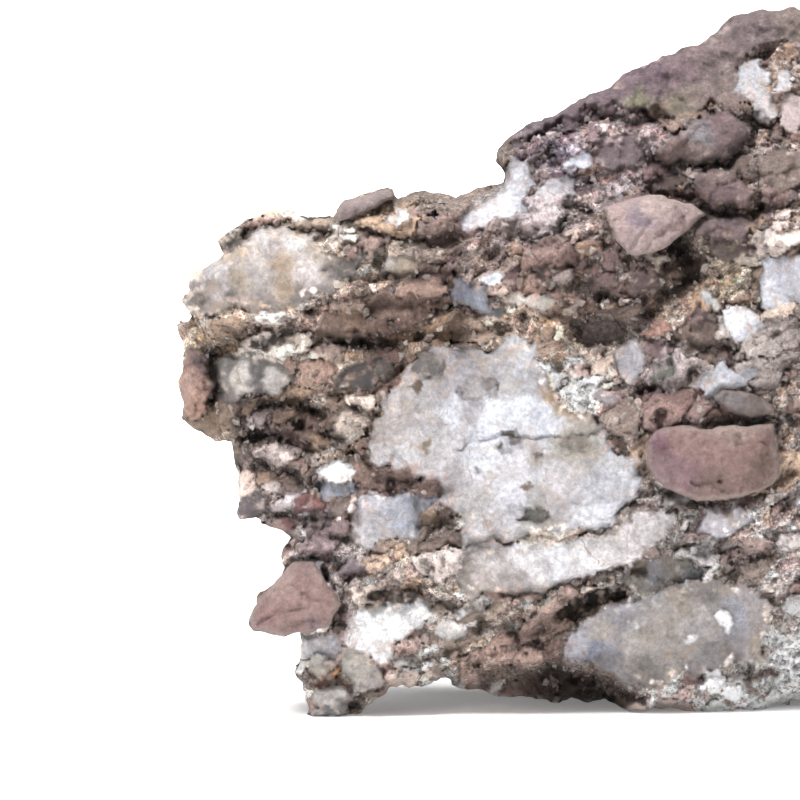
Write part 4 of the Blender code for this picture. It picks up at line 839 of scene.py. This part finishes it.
def face_sheet(u, v):
    """Depth, colour, glassiness, denseness and bareness of the face at places in the picture."""
    flat = np.column_stack([u, np.full(len(u), 11.0), v])
    flow = np.column_stack([0.7 * u, np.full(len(u), 5.0), v - 0.1 * u])
    # Edges of stones are ragged, because places are looked up at these shifted ones.
    bent_u = u + 0.9 * rough(flat, 2.6, 2) + 0.35 * rough(flat + 60, 0.9, 2)
    bent_v = v + 0.9 * rough(flat + 30, 2.6, 2) + 0.35 * rough(flat + 80, 0.9, 2)
    # Fragments of three sizes, the smallest as the matrix of the other two, and pits between them.
    huge, huge_tilt, huge_gap, huge_luck, _ = rubble(u, v, 4.6, 20)
    big, big_tilt, big_gap, big_luck, big_at = rubble(u, v, 2.4, 21)
    small, small_tilt, small_gap, small_luck, small_at = rubble(u, v, 1.05, 22)
    lumps = rough(flow, 6.5, 3)
    grit = rough(flat + 10, 1.1, 3)
    is_huge = (huge_luck[huge, 1] < 0.36) * smooth(0.12, 0.24, huge_gap)
    is_big = (big_luck[big, 1] < 0.42) * smooth(0.1, 0.2, big_gap) * (1 - is_huge)
    matrix = 1 - np.maximum(is_huge, is_big)
    relief = -1.1 * lumps + is_huge * (1.1 * huge_tilt - 0.3 - 0.9 * huge_luck[huge, 0])
    relief += is_big * (1.1 * big_tilt - 0.2 - 0.8 * big_luck[big, 0])
    relief += matrix * (0.9 * small_tilt + 0.8 * (small_luck[small, 0] - 0.4) + 0.3 * smooth(0.25, 0.0, small_gap))
    relief += 0.5 * smooth(0.7, 0.0, huge_gap) + (0.08 + 0.2 * matrix) * grit
    pits = smooth(0.25, 0.6, rough(flat + 70, 3.2, 2))
    relief += 1.6 * pits

    # The cement's colour from place to place, that of each fragment, and cracks round the larger ones.
    colour = spot_colours(u + 2.6 * rough(flow, 6, 3), v + 2.6 * rough(flow + 20, 6, 3), ZONES, 2)
    palette = np.array([linear(c)[:3] for c in FRAGMENT_COLOURS])
    colour *= 1.75
    palette /= 0.5 * palette.mean(axis=0) + 0.5 * palette.mean()
    is_small = (small_luck[small, 1] < 0.5) * 0.9 * matrix
    for share, luck, own in ((is_huge, huge_luck, huge), (is_big, big_luck, big), (is_small, small_luck, small)):
        pick = (luck[own, 2] * len(palette)).astype(int)
        colour *= 1 + (palette[pick] * (0.85 + 0.3 * luck[own, 0])[:, None] - 1) * (0.8 * share)[:, None]
    colour *= (1 + (0.5 * small_luck[small, 0] - 0.22) * matrix)[:, None]
    colour += 0.12 * (colour.mean(axis=1, keepdims=True) - colour)
    # Pits are darkened as well as sunk: painted shade.
    colour *= (1 - 0.5 * pits)[:, None]
    cracks = np.maximum((huge_luck[huge, 1] < 0.36) * np.exp(-((huge_gap - 0.12) / 0.1) ** 2),
                        0.8 * (big_luck[big, 1] < 0.42) * np.exp(-((big_gap - 0.1) / 0.08) ** 2))
    colour *= (1 - 0.45 * cracks)[:, None]
    relief += 0.35 * cracks

    # Each fragment keeps partly to one depth, which makes steps where the rock curves.
    depth = face_depth(u, v, NEAR)
    steps = 0.5 * face_depth(*small_at, NEAR) + 0.5 * face_depth(*big_at, NEAR) - depth
    relief += 0.75 * np.clip(steps, -3, 3)
    glassy = is_big * (big_luck[big, 2] > 0.33) * (big_luck[big, 2] < 0.66)
    dense = 0.8 * np.maximum(is_huge, is_big)
    # The flush stones. Each kind: how glassy, how blurred its edges, its light, and how hackly.
    stone = np.zeros(len(u))
    kinds_of_stone = ((CAP, 0.0, 0.3, (0.85, 0.0), 1.0), (RED_STONES, 0.0, 0.15, (0.76, 0.0), 0.8),
                      (PALE_STONES, 1.0, 0.14, PALE_ALBEDO, 0.0), (DARK_STONES_AND_PAINTED_SHADE, 0.9, 0.14, DARK_ALBEDO, 0.1))
    for kinds, sheen, mix, albedo, hackly in kinds_of_stone:
        for number, (lift, lean, outline, spots) in enumerate(kinds):
            near = near_box(u, v, outline, 2.5)
            if not len(near):
                continue
            centre = np.mean(outline, axis=0)
            if isinstance(spots, str):
                spots = [(centre[0], centre[1], spots)]
            inside = reach_inside(bent_u[near], bent_v[near], outline)
            share = smooth(-mix, mix, inside)
            tint = stone_tint({"tints": spots, "rim": None, "albedo": albedo}, u[near], v[near])
            swell = 0.6 * rough(flat[near] + number, 7, 2) + (0.22 + 0.4 * hackly) * rough(flat[near], 2.0, 3)
            swell += 0.07 * rough(flat[near], 0.8, 2)
            swell -= hackly * (0.5 * huge_tilt[near] + 0.4 * big_tilt[near] + 0.3 * small_tilt[near])
            tint *= (1 + 0.4 * hackly * np.clip(rough(flat[near] + 5, 1.6, 4), -0.6, 0.6))[:, None]
            target = face_depth(u[near], v[near], WIDE) - lift + 0.4
            target += lean[0] * (u[near] - centre[0]) + lean[1] * (v[near] - centre[1]) - swell
            relief[near] += (target - depth[near] - relief[near]) * share
            dusty = smooth(0.1, 0.5, rough(flat[near] + 90, 1.4, 3)) * smooth(2.6, 0.2, inside)
            tint += (colour[near] - tint) * (0.75 * dusty)[:, None]
            colour[near] += (tint - colour[near]) * share[:, None]
            glassy[near] += (sheen - glassy[near]) * share
            dense[near] += (0.9 - dense[near]) * share
            stone[near] = np.maximum(stone[near], share)
            seam = np.exp(-((inside + 0.05) / 0.22) ** 2) * smooth(-0.15, 0.3, rough(flat[near] + 40, 2.5, 3))
            seam *= smooth(3.0, 4.5, np.ptp(outline, axis=0)[0])
            relief[near] += 0.5 * seam
            colour[near] *= (1 - 0.45 * seam)[:, None]
    # What is cut into the face or swells out of it, with painted shade in the crevices and hollows and painted
    # highlight along the ledges.
    for deep, width, line in CREVICES:
        near = near_box(u, v, line, 3 * width)
        wander = reach_from(bent_u[near], bent_v[near], line) / width
        cut = np.exp(-wander ** 2)
        relief[near] += deep * cut
        # Crevices are darkened as deep as they run: painted shade.
        colour[near] *= (1 - 0.45 * cut * min(1.0, deep / 2))[:, None]
    for tall, width, line in LEDGES:
        near = near_box(u, v, line, 3 * width)
        rise = np.exp(-(reach_from(bent_u[near], bent_v[near], line) / width) ** 2) * (1 - 0.8 * stone[near])
        relief[near] -= tall * rise
        # Ledges are lightened where they stand out: painted highlight.
        colour[near] *= (1 + 0.22 * rise)[:, None]
    for cu, cv, length, tall, turn, deep in HOLLOWS:
        share = smooth(1.25, 0.35, oval_reach(bent_u, bent_v, cu, cv, length, tall, turn))
        relief += deep * share
        # Hollows are darkened as deep as they are: painted shade.
        colour *= (1 - min(0.88, 0.2 * deep) * share)[:, None]
    depth = depth + np.minimum(relief, MOST_RELIEF)
    # The face lies behind each proud stone, with a slot round it that is darkened with painted shade.
    bare = 1 - stone
    for held in proud_stones:
        near = near_box(u, v, held["outline"], 2.5)
        if len(near):
            inside = reach_inside(u[near], v[near], held["outline"])
            behind = stone_face(dict(held, relief=[]), u[near], v[near]) + 1.8
            share = smooth(-0.5, 0.5, inside)
            depth[near] += np.maximum(behind - depth[near], 0) * share
            slot = np.exp(-((inside + 0.3) / 0.55) ** 2)
            depth[near] += 0.9 * slot
            # The slot is darkened: painted shade.
            colour[near] *= (1 - 0.35 * slot)[:, None]
            bare[near] *= 1 - share
    bare *= smooth(1.0, 2.4, reach_inside(u, v, EDGE))
    return depth, np.clip(colour, 0, 0.95), glassy, dense, bare


def sheet_body():
    """Points, triangles, colours and other values of the whole face, with walls behind its rim and a back."""
    ring = ragged(EDGE, 0.4, 0.55, 3)
    spots, triangles = filled(ring, SHEET_STEP, np.random.default_rng(5))
    u, v = spots[:, 0], spots[:, 1]
    inside = np.maximum(reach_inside(u, v, ring), 0)
    depth, colour, glassy, dense, bare = face_sheet(u, v)
    fall = np.hypot(face_depth(u + 0.5, v, NEAR) - face_depth(u - 0.5, v, NEAR),
                    face_depth(u, v + 0.5, NEAR) - face_depth(u, v - 0.5, NEAR))
    steep = smooth(2.2, 4.5, fall)
    speckle = rough(np.column_stack([u, depth, v]), 2.0, 3)
    colour += (FLANK_BROWN * (1 + 0.7 * speckle)[:, None] - colour) * 0.75 * steep[:, None]
    glassy, dense = glassy * (1 - steep), dense * (1 - steep)
    depth += 3.0 * (1 - np.minimum(inside / 1.8, 1)) ** 2 + 6 * smooth(-0.3, 3.2, past_seam(u, v))
    # The walls, down from the sheet's rim and inward, then the back that closes them.
    edges = {(a, b) for face in triangles for a, b in zip(face, face[1:] + face[:1])}
    following = {a: b for a, b in edges if (b, a) not in edges}
    loop = [next(iter(following))]
    while following[loop[-1]] != loop[0]:
        loop.append(following[loop[-1]])
    rim = spots[loop]
    ahead, behind = np.roll(rim, -2, axis=0), np.roll(rim, 2, axis=0)
    run = ahead - behind
    outward = np.column_stack([run[:, 1], -run[:, 0]]) / np.maximum(np.hypot(run[:, 0], run[:, 1]), 1e-6)[:, None]
    for _ in range(6):
        outward = (np.roll(outward, 1, axis=0) + outward + np.roll(outward, -1, axis=0)) / 3
    rows, previous, start = [spots], loop, len(spots)
    depths, colours, sheens = [depth], [colour], [glassy]
    for down, inset in ((1.2, 0.1), (3.0, 0.7), (5.5, 1.7), (8.5, 3.0), (12, 4.6)):
        wander = rough(np.column_stack([rim, np.full(len(rim), down * 3)]), 4, 3)
        rows.append(rim - outward * (inset + 0.8 * np.minimum(down / 3, 1) * wander)[:, None])
        depths.append(depth[loop] + down)
        crust = 0.9 * min(down / 3.0, 1.0)
        brown = FLANK_BROWN * (1 + 0.5 * wander)[:, None]
        colours.append(colour[loop] * (1 - crust) + brown * crust)
        sheens.append(glassy[loop] * (1 - crust))
        row = [start + n for n in range(len(loop))]
        for n in range(len(loop)):
            m = (n + 1) % len(loop)
            triangles += [[previous[m], previous[n], row[n]], [previous[m], row[n], row[m]]]
        previous, start = row, start + len(loop)
    back = geometry.delaunay_2d_cdt([Vector(p) for p in rows[-1]], [], [list(range(len(loop)))], 1, 1e-6)
    known = {tuple(np.round(p, 4)): n for n, p in zip(previous, rows[-1])}
    extra, extra_depth, names = [], [], []
    for p in back[0]:
        key = tuple(np.round(np.array(p[:]), 4))
        if key not in known:
            known[key] = start + len(extra)
            extra.append(p[:])
            extra_depth.append(depths[-1].mean())
        names.append(known[key])
    triangles += [[names[i] for i in reversed(face)] for face in back[2]]
    if extra:
        rows.append(np.array(extra))
        depths.append(np.array(extra_depth))
        colours.append(np.tile(colour.mean(axis=0), (len(extra), 1)))
        sheens.append(np.zeros(len(extra)))
    spots, depths = np.vstack(rows), np.concatenate(depths)
    sheens = np.concatenate(sheens)
    denses, bares = np.zeros(len(sheens)), np.zeros(len(sheens))
    denses[:len(dense)], bares[:len(bare)] = dense, bare
    points = seen(spots[:, 0], spots[:, 1], depths)
    points[:, 2] = np.maximum(points[:, 2], MIDDLE[2])
    for n in range(len(depth) + len(loop), len(points)):
        spot, normal = solid_tree.find_nearest(Vector(points[n]))[:2]
        if (Vector(points[n]) - spot).dot(normal) > -SUNK:
            points[n] = spot - SUNK * normal
    return points, triangles, np.vstack(colours), sheens, denses, bares


# The material of the face, the body and the chips. Three attributes say what each place is made of.

WHITEST = (0.86, 0.86, 0.88)
silica_cement, tree, shader = blank_material("sandy cement and chalcedony, grown together")
place = add(tree, "ShaderNodeTexCoord").outputs["Object"]
tint = attribute_of(tree, "tint", "Color")
glass_share, dense_share = attribute_of(tree, "glassy", "Fac"), attribute_of(tree, "dense", "Fac")

# Loose cement, of single grains.
grainy = tint
for size, dark, light in ((0.75, 0.62, 1.45), (0.36, 0.5, 1.6)):
    grains = add(tree, "ShaderNodeTexVoronoi", None, {"Vector": place, "Scale": 1000 / size}).outputs["Color"]
    grey = add(tree, "ShaderNodeRGBToBW", None, {"Color": grains}).outputs["Val"]
    grainy = blend(tree, 0.8, grainy, remap(tree, grey, 0.2, 0.8, dark, light), "MULTIPLY")
blotches = noise_in(tree, place, 1.6, 8.0, 0.75)
blotch_light = remap(tree, blotches, 0.32, 0.68, 0.55, 1.45)
blotchy = blend(tree, 0.9, grainy, blotch_light, "MULTIPLY")

# Dense stones, evenly sandy.
sand_light = remap(tree, noise_in(tree, place, 0.5, 6.0, 0.8), 0.36, 0.64, 0.55, 1.5)
even = blend(tree, 0.75, blend(tree, 0.6, tint, blotch_light, "MULTIPLY"), sand_light, "MULTIPLY")
bedded = blend(tree, dense_share, blotchy, even)

# Glassy stones, clouded white and grey, dusty in places and veined with the cement.
clouds = noise_in(tree, place, 4.5, 9.0, 0.72, 0.6)
milky = blend(tree, remap(tree, clouds, 0.52, 0.6, 0.0, 0.5), tint, (1.6, 1.6, 1.66, 1), "MULTIPLY")
cloudy = blend(tree, remap(tree, clouds, 0.48, 0.37, 0.0, 0.55), milky, linear("#B3B0B4"), "MULTIPLY")
fine_light = remap(tree, noise_in(tree, place, 0.8, 6.0, 0.7), 0.35, 0.65, 0.66, 1.2)
mottled = blend(tree, 1.0, cloudy, fine_light, "MULTIPLY")
mottled = add(tree, "ShaderNodeVectorMath", {"operation": "MINIMUM"}, {0: mottled, 1: WHITEST}).outputs["Vector"]
dust_share = remap(tree, noise_in(tree, place, 3.3, 7.0, 0.75), 0.53, 0.63, 0.0, 0.5)
dusty = blend(tree, dust_share, mottled, linear("#9F8C79"))
shift = add(tree, "ShaderNodeTexNoise", None, {"Vector": place, "Scale": 1000 / 3.0, "Detail": 4.0}).outputs["Color"]
bend = add(tree, "ShaderNodeVectorMath", {"operation": "MULTIPLY_ADD"},
           {0: shift, 1: (0.004, 0.004, 0.004), 2: place}).outputs["Vector"]
seams = add(tree, "ShaderNodeTexVoronoi", {"feature": "DISTANCE_TO_EDGE"},
            {"Vector": bend, "Scale": 1000 / 7.5}).outputs["Distance"]
seam_share = multiply(tree, remap(tree, seams, 0.0, 0.03, 1.0, 0.0), remap(tree, blotches, 0.48, 0.6, 0.0, 0.85))
veined = blend(tree, seam_share, dusty, linear("#86715F"))

tree.links.new(blend(tree, glass_share, bedded, veined), shader.inputs["Base Color"])
tree.links.new(remap(tree, glass_share, 0.0, 1.0, 0.88, 0.42), shader.inputs["Roughness"])
shader.inputs["IOR"].default_value = 1.54
grain_bite = remap(tree, glass_share, 0.0, 1.0, 1.0, 0.3)
bump_up(tree, shader, multiply(tree, noise_in(tree, place, 1.0, 8.0, 0.8), grain_bite), 0.0013)

points, triangles, tints, sheens, denses, bares = sheet_body()
face = grown_mesh("rock_face", points, triangles, tints, silica_cement,
                  {"glassy": sheens, "dense": denses, "bare": bares})
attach(face, "root")
face_tree = BVHTree.FromPolygons([tuple(q) for q in points], triangles)


# The body, the whole rock behind the face: its back, ends, top and underside. The same cement with the
# same kinds of stones strewn through it, cut back where the face covers it.

FINE, BODY_TRIANGLES = 0.8, 150000
# How far in mm the body keeps behind the face, and the deepest hollow that it gives way to.
KEPT_BEHIND, DEEPEST_HOLLOW = 3.5, 9
STREWN_BOX = ((-4, -34, 0), (168, 38, 180))
STONE_COLOURS = ["#8E7A78", "#A38B86", "#7B686C", "#C9C1C0", "#DAD5D8", "#AFA6A8", "#8A8A90", "#6A5F5B", "#9A8478"]
GLASSY_KINDS = (3, 4, 5, 6)
BODY_BROWN, BODY_GREY = "#85746A", "#A1948D"
# How many stones, and how many fragments of two sizes, fill the box around the rock. Of every 13 stones,
# 4 are cement.
NOT_STONE = 4
STONES, COARSE, SMALL = 1100, 16000, 90000


def strewn_cells(points, number, seed):
    """For each point, the stone that it belongs to among those strewn through the rock, and how far it
    lies from the next one."""
    random = np.random.default_rng(seed)
    middles = random.uniform(*STREWN_BOX, (number, 3))
    bent = points + 1.6 * np.column_stack([rough(points + shift, 8, 2) for shift in (0, 40, 80)])
    bent[:, 2] = 1.6 * (bent[:, 2] - 0.15 * bent[:, 0])
    return nearest_cells(middles, bent)


def settle(obj):
    """Turns what an object's modifiers make of it into its own mesh."""
    made = bpy.data.meshes.new_from_object(obj.evaluated_get(bpy.context.evaluated_depsgraph_get()))
    obj.modifiers.clear()
    obj.data = made
    return made


def vertex_values(mesh, name):
    values = np.empty(len(mesh.vertices) * 3, np.float32)
    mesh.vertices.foreach_get(name, values)
    return values.reshape(-1, 3).astype(float)


def place_vertices(mesh, points):
    """Moves a mesh's vertices to points given in mm from the rock's left end."""
    mesh.vertices.foreach_set("co", ((points - MIDDLE) * MM).astype(np.float32).ravel())
    mesh.update()


def face_at(point):
    """Where the eye's look towards a point meets the face."""
    return face_tree.ray_cast(Vector(EYE), Vector(point - EYE).normalized())[0]


mesh = bpy.data.meshes.new("rock_body")
mesh.from_pydata([tuple(p) for p in (solid_points - MIDDLE) * MM], [], solid_faces)
body = bpy.data.objects.new("rock_body", mesh)
scene.collection.objects.link(body)
remesh = body.modifiers.new("fine", "REMESH")
remesh.mode = "VOXEL"
remesh.voxel_size = FINE * MM
mesh = settle(body)
p, normals = vertex_values(mesh, "co") / MM + MIDDLE, vertex_values(mesh, "normal")

# How far each place is covered by the face (front), and how near it lies to the face's rim (at_edge).
u, v = drawn(p)
front = smooth(4, 2, p[:, 1] - face_depth(u, v, NEAR)) * smooth(0.0, 0.3, -normals[:, 1])
past = past_seam(u, v)
front *= smooth(0.2, -1.6, past)
from_edge = reach_inside(u, v, EDGE)
at_edge = smooth(3.0, 0.5, from_edge) * smooth(99, 95, u)
at_edge *= np.maximum(smooth(12, 3, p[:, 1] - face_depth(u, v, WIDE)), smooth(1.0, -0.5, from_edge))

# Relief: lumps, grit, and stones and fragments that stand a little proud of one another.
flow = np.column_stack([p[:, 0] * 0.6, p[:, 1], p[:, 2] + 0.12 * p[:, 0]])
lumps = rough(flow, 6, 3)
grit = rough(flow + 30, 1.9, 3)
own, gap = strewn_cells(p, STONES, 7)
kinds = np.random.default_rng(3).integers(0, len(STONE_COLOURS) + NOT_STONE, STONES)[own]
coarse, coarse_gap = strewn_cells(p, COARSE, 11)
small, small_gap = strewn_cells(p, SMALL, 12)
coarse_luck = np.random.default_rng(13).uniform(0, 1, (COARSE, 3))[coarse]
small_luck = np.random.default_rng(14).uniform(0, 1, (SMALL, 3))[small]
is_coarse = (coarse_luck[:, 0] < 0.5) * smooth(0.1, 0.5, coarse_gap)
is_small = (small_luck[:, 0] < 0.6) * smooth(0.05, 0.35, small_gap) * (1 - is_coarse)
is_stone = smooth(0.5, 1.6, gap + 0.8 * grit) * (kinds < len(STONE_COLOURS))
height = (0.9 * lumps + 0.6 * grit) * (1 - 0.6 * is_stone) - 0.9 * smooth(1.2, 0.2, gap)
height += (1 - is_stone) * (is_coarse * (1.5 * coarse_luck[:, 1] - 0.6) + is_small * (1.1 * small_luck[:, 1] - 0.4)
                            - 0.5 * smooth(0.6, 0.0, coarse_gap))
stone_luck = np.random.default_rng(15).uniform(0, 1, (STONES, 2))[own]
height += is_stone * (1.8 * stone_luck[:, 0] - 1.0 + 0.5 * coarse_luck[:, 1])
height *= smooth(0.0, 1.2, p[:, 2] - MIDDLE[2])

# The body gives way to the face: drawn in at its rim, and behind every hollow of it.
p += normals * (height * (1 - front) - (1.2 + np.maximum(-from_edge, 0)) * at_edge)[:, None]
p[:, 1] += KEPT_BEHIND * front + KEPT_BEHIND * front * smooth(1.5, 6, from_edge)
margin = KEPT_BEHIND * smooth(0.3, -2.0, past)
for n in np.nonzero((from_edge > 1.0) & (margin > 0) & (p[:, 1] < 12))[0]:
    reach = min(2.2, from_edge[n] - 0.9) * (margin[n] > KEPT_BEHIND - 0.1)
    around = ((0, 0), (reach, 0), (-reach, 0), (0, reach), (0, -reach))
    spots = [face_at(p[n] + (across, 0, up)) for across, up in around]
    depths = [spot.y for spot in spots if spot is not None and spot.y < p[n, 1] + DEEPEST_HOLLOW]
    deepest = max(depths, default=-99) + margin[n]
    if p[n, 1] < deepest:
        p[n] = EYE + (p[n] - EYE) * (deepest - EYE[1]) / (p[n, 1] - EYE[1])
p[:, 2] = np.maximum(p[:, 2], MIDDLE[2])
place_vertices(mesh, p)

# Its colours: the cement from brown to grey, the fragments in it, and the stones.
mix = smooth(-0.4, 0.4, rough(flow + 9, 18, 3))[:, None]
tints = (1 - mix) * np.array(linear(BODY_BROWN)[:3]) + mix * np.array(linear(BODY_GREY)[:3])
fragments = np.array([linear(c)[:3] for c in FRAGMENT_COLOURS])
fragments /= fragments.mean()
for share, luck in ((is_coarse, coarse_luck), (is_small, small_luck)):
    pick = (luck[:, 2] * len(fragments)).astype(int)
    tints *= 1 + (fragments[pick] * (0.85 + 0.3 * luck[:, 1])[:, None] - 1) * (0.75 * share)[:, None]
tints *= (1 - 0.4 * smooth(0.5, 0.0, coarse_gap))[:, None]
palette = 0.62 * np.array([linear(c)[:3] for c in STONE_COLOURS] + [linear(BODY_BROWN)[:3]] * NOT_STONE)
stone_light = 0.85 + 0.3 * stone_luck[:, 1] + 0.12 * (coarse_luck[:, 2] - 0.5)
tints += (palette[kinds] * stone_light[:, None] - tints) * is_stone[:, None]
# Lighter where lumps and grit stand out and darker where they sink: painted light and shade.
tints *= (1 + (np.clip(0.95 + 0.3 * lumps + 0.3 * grit, 0.5, 1.3) - 1) * (1 - 0.6 * is_stone))[:, None]
dress(mesh, tints, silica_cement, {"glassy": is_stone * np.isin(kinds, GLASSY_KINDS), "dense": 0.8 * is_stone,
                                   "bare": (1 - 0.9 * is_stone) * (1 - front)})

# Coarser triangles where the face covers it.
covered = body.vertex_groups.new(name="covered")
for n, share in enumerate(front):
    if share > 0.5:
        covered.add([n], 1.0, "REPLACE")
thin = body.modifiers.new("thin", "DECIMATE")
thin.ratio = min(1.0, BODY_TRIANGLES / sum(len(polygon.vertices) - 2 for polygon in mesh.polygons))
thin.vertex_group = "covered"
thin.vertex_group_factor = 2.0
mesh = settle(body)

# Larger triangles can cut through a hollow of the face, so each that does is moved back out of it.
p = vertex_values(mesh, "co") / MM + MIDDLE
u, v = drawn(p)
hidden = (reach_inside(u, v, EDGE) > 1.0) & (past_seam(u, v) < -1.6) & (p[:, 1] < 14)
mesh.calc_loop_triangles()
corners = np.array([triangle.vertices[:] for triangle in mesh.loop_triangles])
corners = corners[hidden[corners].all(axis=1)]
for _ in range(4):
    push = np.zeros(len(p))
    for weights in ((1 / 3, 1 / 3, 1 / 3), (0.5, 0.5, 0), (0, 0.5, 0.5), (0.5, 0, 0.5)):
        for three, point in zip(corners, (p[corners] * np.array(weights)[:, None]).sum(axis=1)):
            spot = face_at(point)
            if spot is not None and spot.y - DEEPEST_HOLLOW < point[1] < spot.y + 1.0:
                push[three] = np.maximum(push[three], spot.y + 1.4 - point[1])
    p = EYE + (p - EYE) * (1 + push / (p[:, 1] - EYE[1]))[:, None]
place_vertices(mesh, p)
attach(body, "root")
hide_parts("rock")


# Chips and grains of every stone in the rock, broken angular and 0.2 to 1 mm across. They lie half sunk in
# the bare cement, closely on the face and thinly on the body, and are grown fast to it.

CHIPS_PER_M2, CHIP_SEED, CHIP_SHAPES = 560000, 12, 6
CHIP_COLOURS = ["#6B5A5A", "#84706E", "#A3968F", "#8C7B6D", "#C4BCB8", "#7A7276", "#9C8B82", "#C9C2BE"]
SMALLEST_CHIP, LARGEST_CHIP = 0.22, 1.0


def chip_tree():
    """Nodes that strew small broken hulls of several shapes over bare cement, coloured partly like it."""
    tree = bpy.data.node_groups.new("chips on cement", "GeometryNodeTree")
    sockets = tree.interface
    sockets.new_socket("Geometry", in_out="INPUT", socket_type="NodeSocketGeometry")
    for name in ("Chips per square metre", "Smallest", "Largest"):
        sockets.new_socket(name, in_out="INPUT", socket_type="NodeSocketFloat")
    sockets.new_socket("Seed", in_out="INPUT", socket_type="NodeSocketInt")
    sockets.new_socket("Material", in_out="INPUT", socket_type="NodeSocketMaterial")
    sockets.new_socket("Geometry", in_out="OUTPUT", socket_type="NodeSocketGeometry")
    given = tree.nodes.new("NodeGroupInput").outputs
    bare = add(tree, "GeometryNodeInputNamedAttribute", {"data_type": "FLOAT"}, {"Name": "bare"}).outputs["Attribute"]
    density = multiply(tree, bare, given["Chips per square metre"])
    spread = add(tree, "GeometryNodeDistributePointsOnFaces", None,
                 {"Mesh": given["Geometry"], "Density": density, "Seed": given["Seed"]})
    shapes = tree.nodes.new("GeometryNodeGeometryToInstance")
    for number in range(CHIP_SHAPES):
        corner = add(tree, "FunctionNodeRandomValue", {"data_type": "FLOAT_VECTOR"},
                     {0: (-1.0, -0.8, -0.6), 1: (1.0, 0.8, 0.6), "Seed": number}).outputs[0]
        cloud = add(tree, "GeometryNodePoints", None, {"Count": 11, "Position": corner}).outputs[0]
        hull = add(tree, "GeometryNodeConvexHull", None, {"Geometry": cloud}).outputs[0]
        tree.links.new(hull, shapes.inputs[0])
    turn = add(tree, "FunctionNodeRandomValue", {"data_type": "FLOAT_VECTOR"},
               {0: (0.0, 0.0, 0.0), 1: (6.283, 6.283, 6.283), "Seed": given["Seed"]}).outputs[0]
    luck = add(tree, "FunctionNodeRandomValue", {"data_type": "FLOAT"}, {2: 0.0, 3: 1.0, "Seed": 5}).outputs[1]
    mostly_small = add(tree, "ShaderNodeMath", {"operation": "POWER"}, {0: luck, 1: 2.6}).outputs["Value"]
    size = remap(tree, mostly_small, 0.0, 1.0, given["Smallest"], given["Largest"])
    laid = add(tree, "GeometryNodeInstanceOnPoints", {},
               {"Points": spread.outputs["Points"], "Instance": shapes.outputs[0], "Pick Instance": True,
                "Rotation": turn, "Scale": size}).outputs[0]
    shade = add(tree, "FunctionNodeRandomValue", {"data_type": "FLOAT"}, {2: 0.0, 3: 1.0, "Seed": 9}).outputs[1]
    ramp = tree.nodes.new("ShaderNodeValToRGB")
    ramp.color_ramp.interpolation = "CONSTANT"
    for number, colour in enumerate(CHIP_COLOURS):
        stops = ramp.color_ramp.elements
        stop = stops[0] if number == 0 else stops.new(number / len(CHIP_COLOURS))
        stop.color = linear(colour)
    tree.links.new(shade, ramp.inputs["Fac"])
    near_tint = add(tree, "GeometryNodeInputNamedAttribute", {"data_type": "FLOAT_COLOR"}, {"Name": "tint"})
    chip_tint = blend(tree, 0.5, near_tint.outputs["Attribute"], ramp.outputs["Color"])
    tinted = add(tree, "GeometryNodeStoreNamedAttribute", {"data_type": "FLOAT_COLOR", "domain": "INSTANCE"},
                 {"Geometry": laid, "Name": "tint", "Value": chip_tint}).outputs[0]
    real = add(tree, "GeometryNodeRealizeInstances", None, {"Geometry": tinted}).outputs[0]
    done = add(tree, "GeometryNodeSetMaterial", None, {"Geometry": real, "Material": given["Material"]}).outputs[0]
    tree.links.new(done, tree.nodes.new("NodeGroupOutput").inputs[0])
    return tree


def strew_chips(ground, name, per_m2, seed):
    """A piece of chips strewn over the bare cement of another piece."""
    chips = bpy.data.objects.new(name, ground.data.copy())
    scene.collection.objects.link(chips)
    strew = chips.modifiers.new("strew", "NODES")
    strew.node_group = chip_nodes
    values = {"Chips per square metre": per_m2, "Smallest": SMALLEST_CHIP * MM, "Largest": LARGEST_CHIP * MM,
              "Seed": seed, "Material": silica_cement}
    for socket in chip_nodes.interface.items_tree:
        if socket.in_out == "INPUT" and socket.name in values:
            strew[socket.identifier] = values[socket.name]
    chips.update_tag()
    settle(chips)
    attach(chips, "root")


chip_nodes = chip_tree()
strew_chips(face, "face_chips", CHIPS_PER_M2, CHIP_SEED)
strew_chips(body, "body_chips", 0.2 * CHIPS_PER_M2, CHIP_SEED + 1)
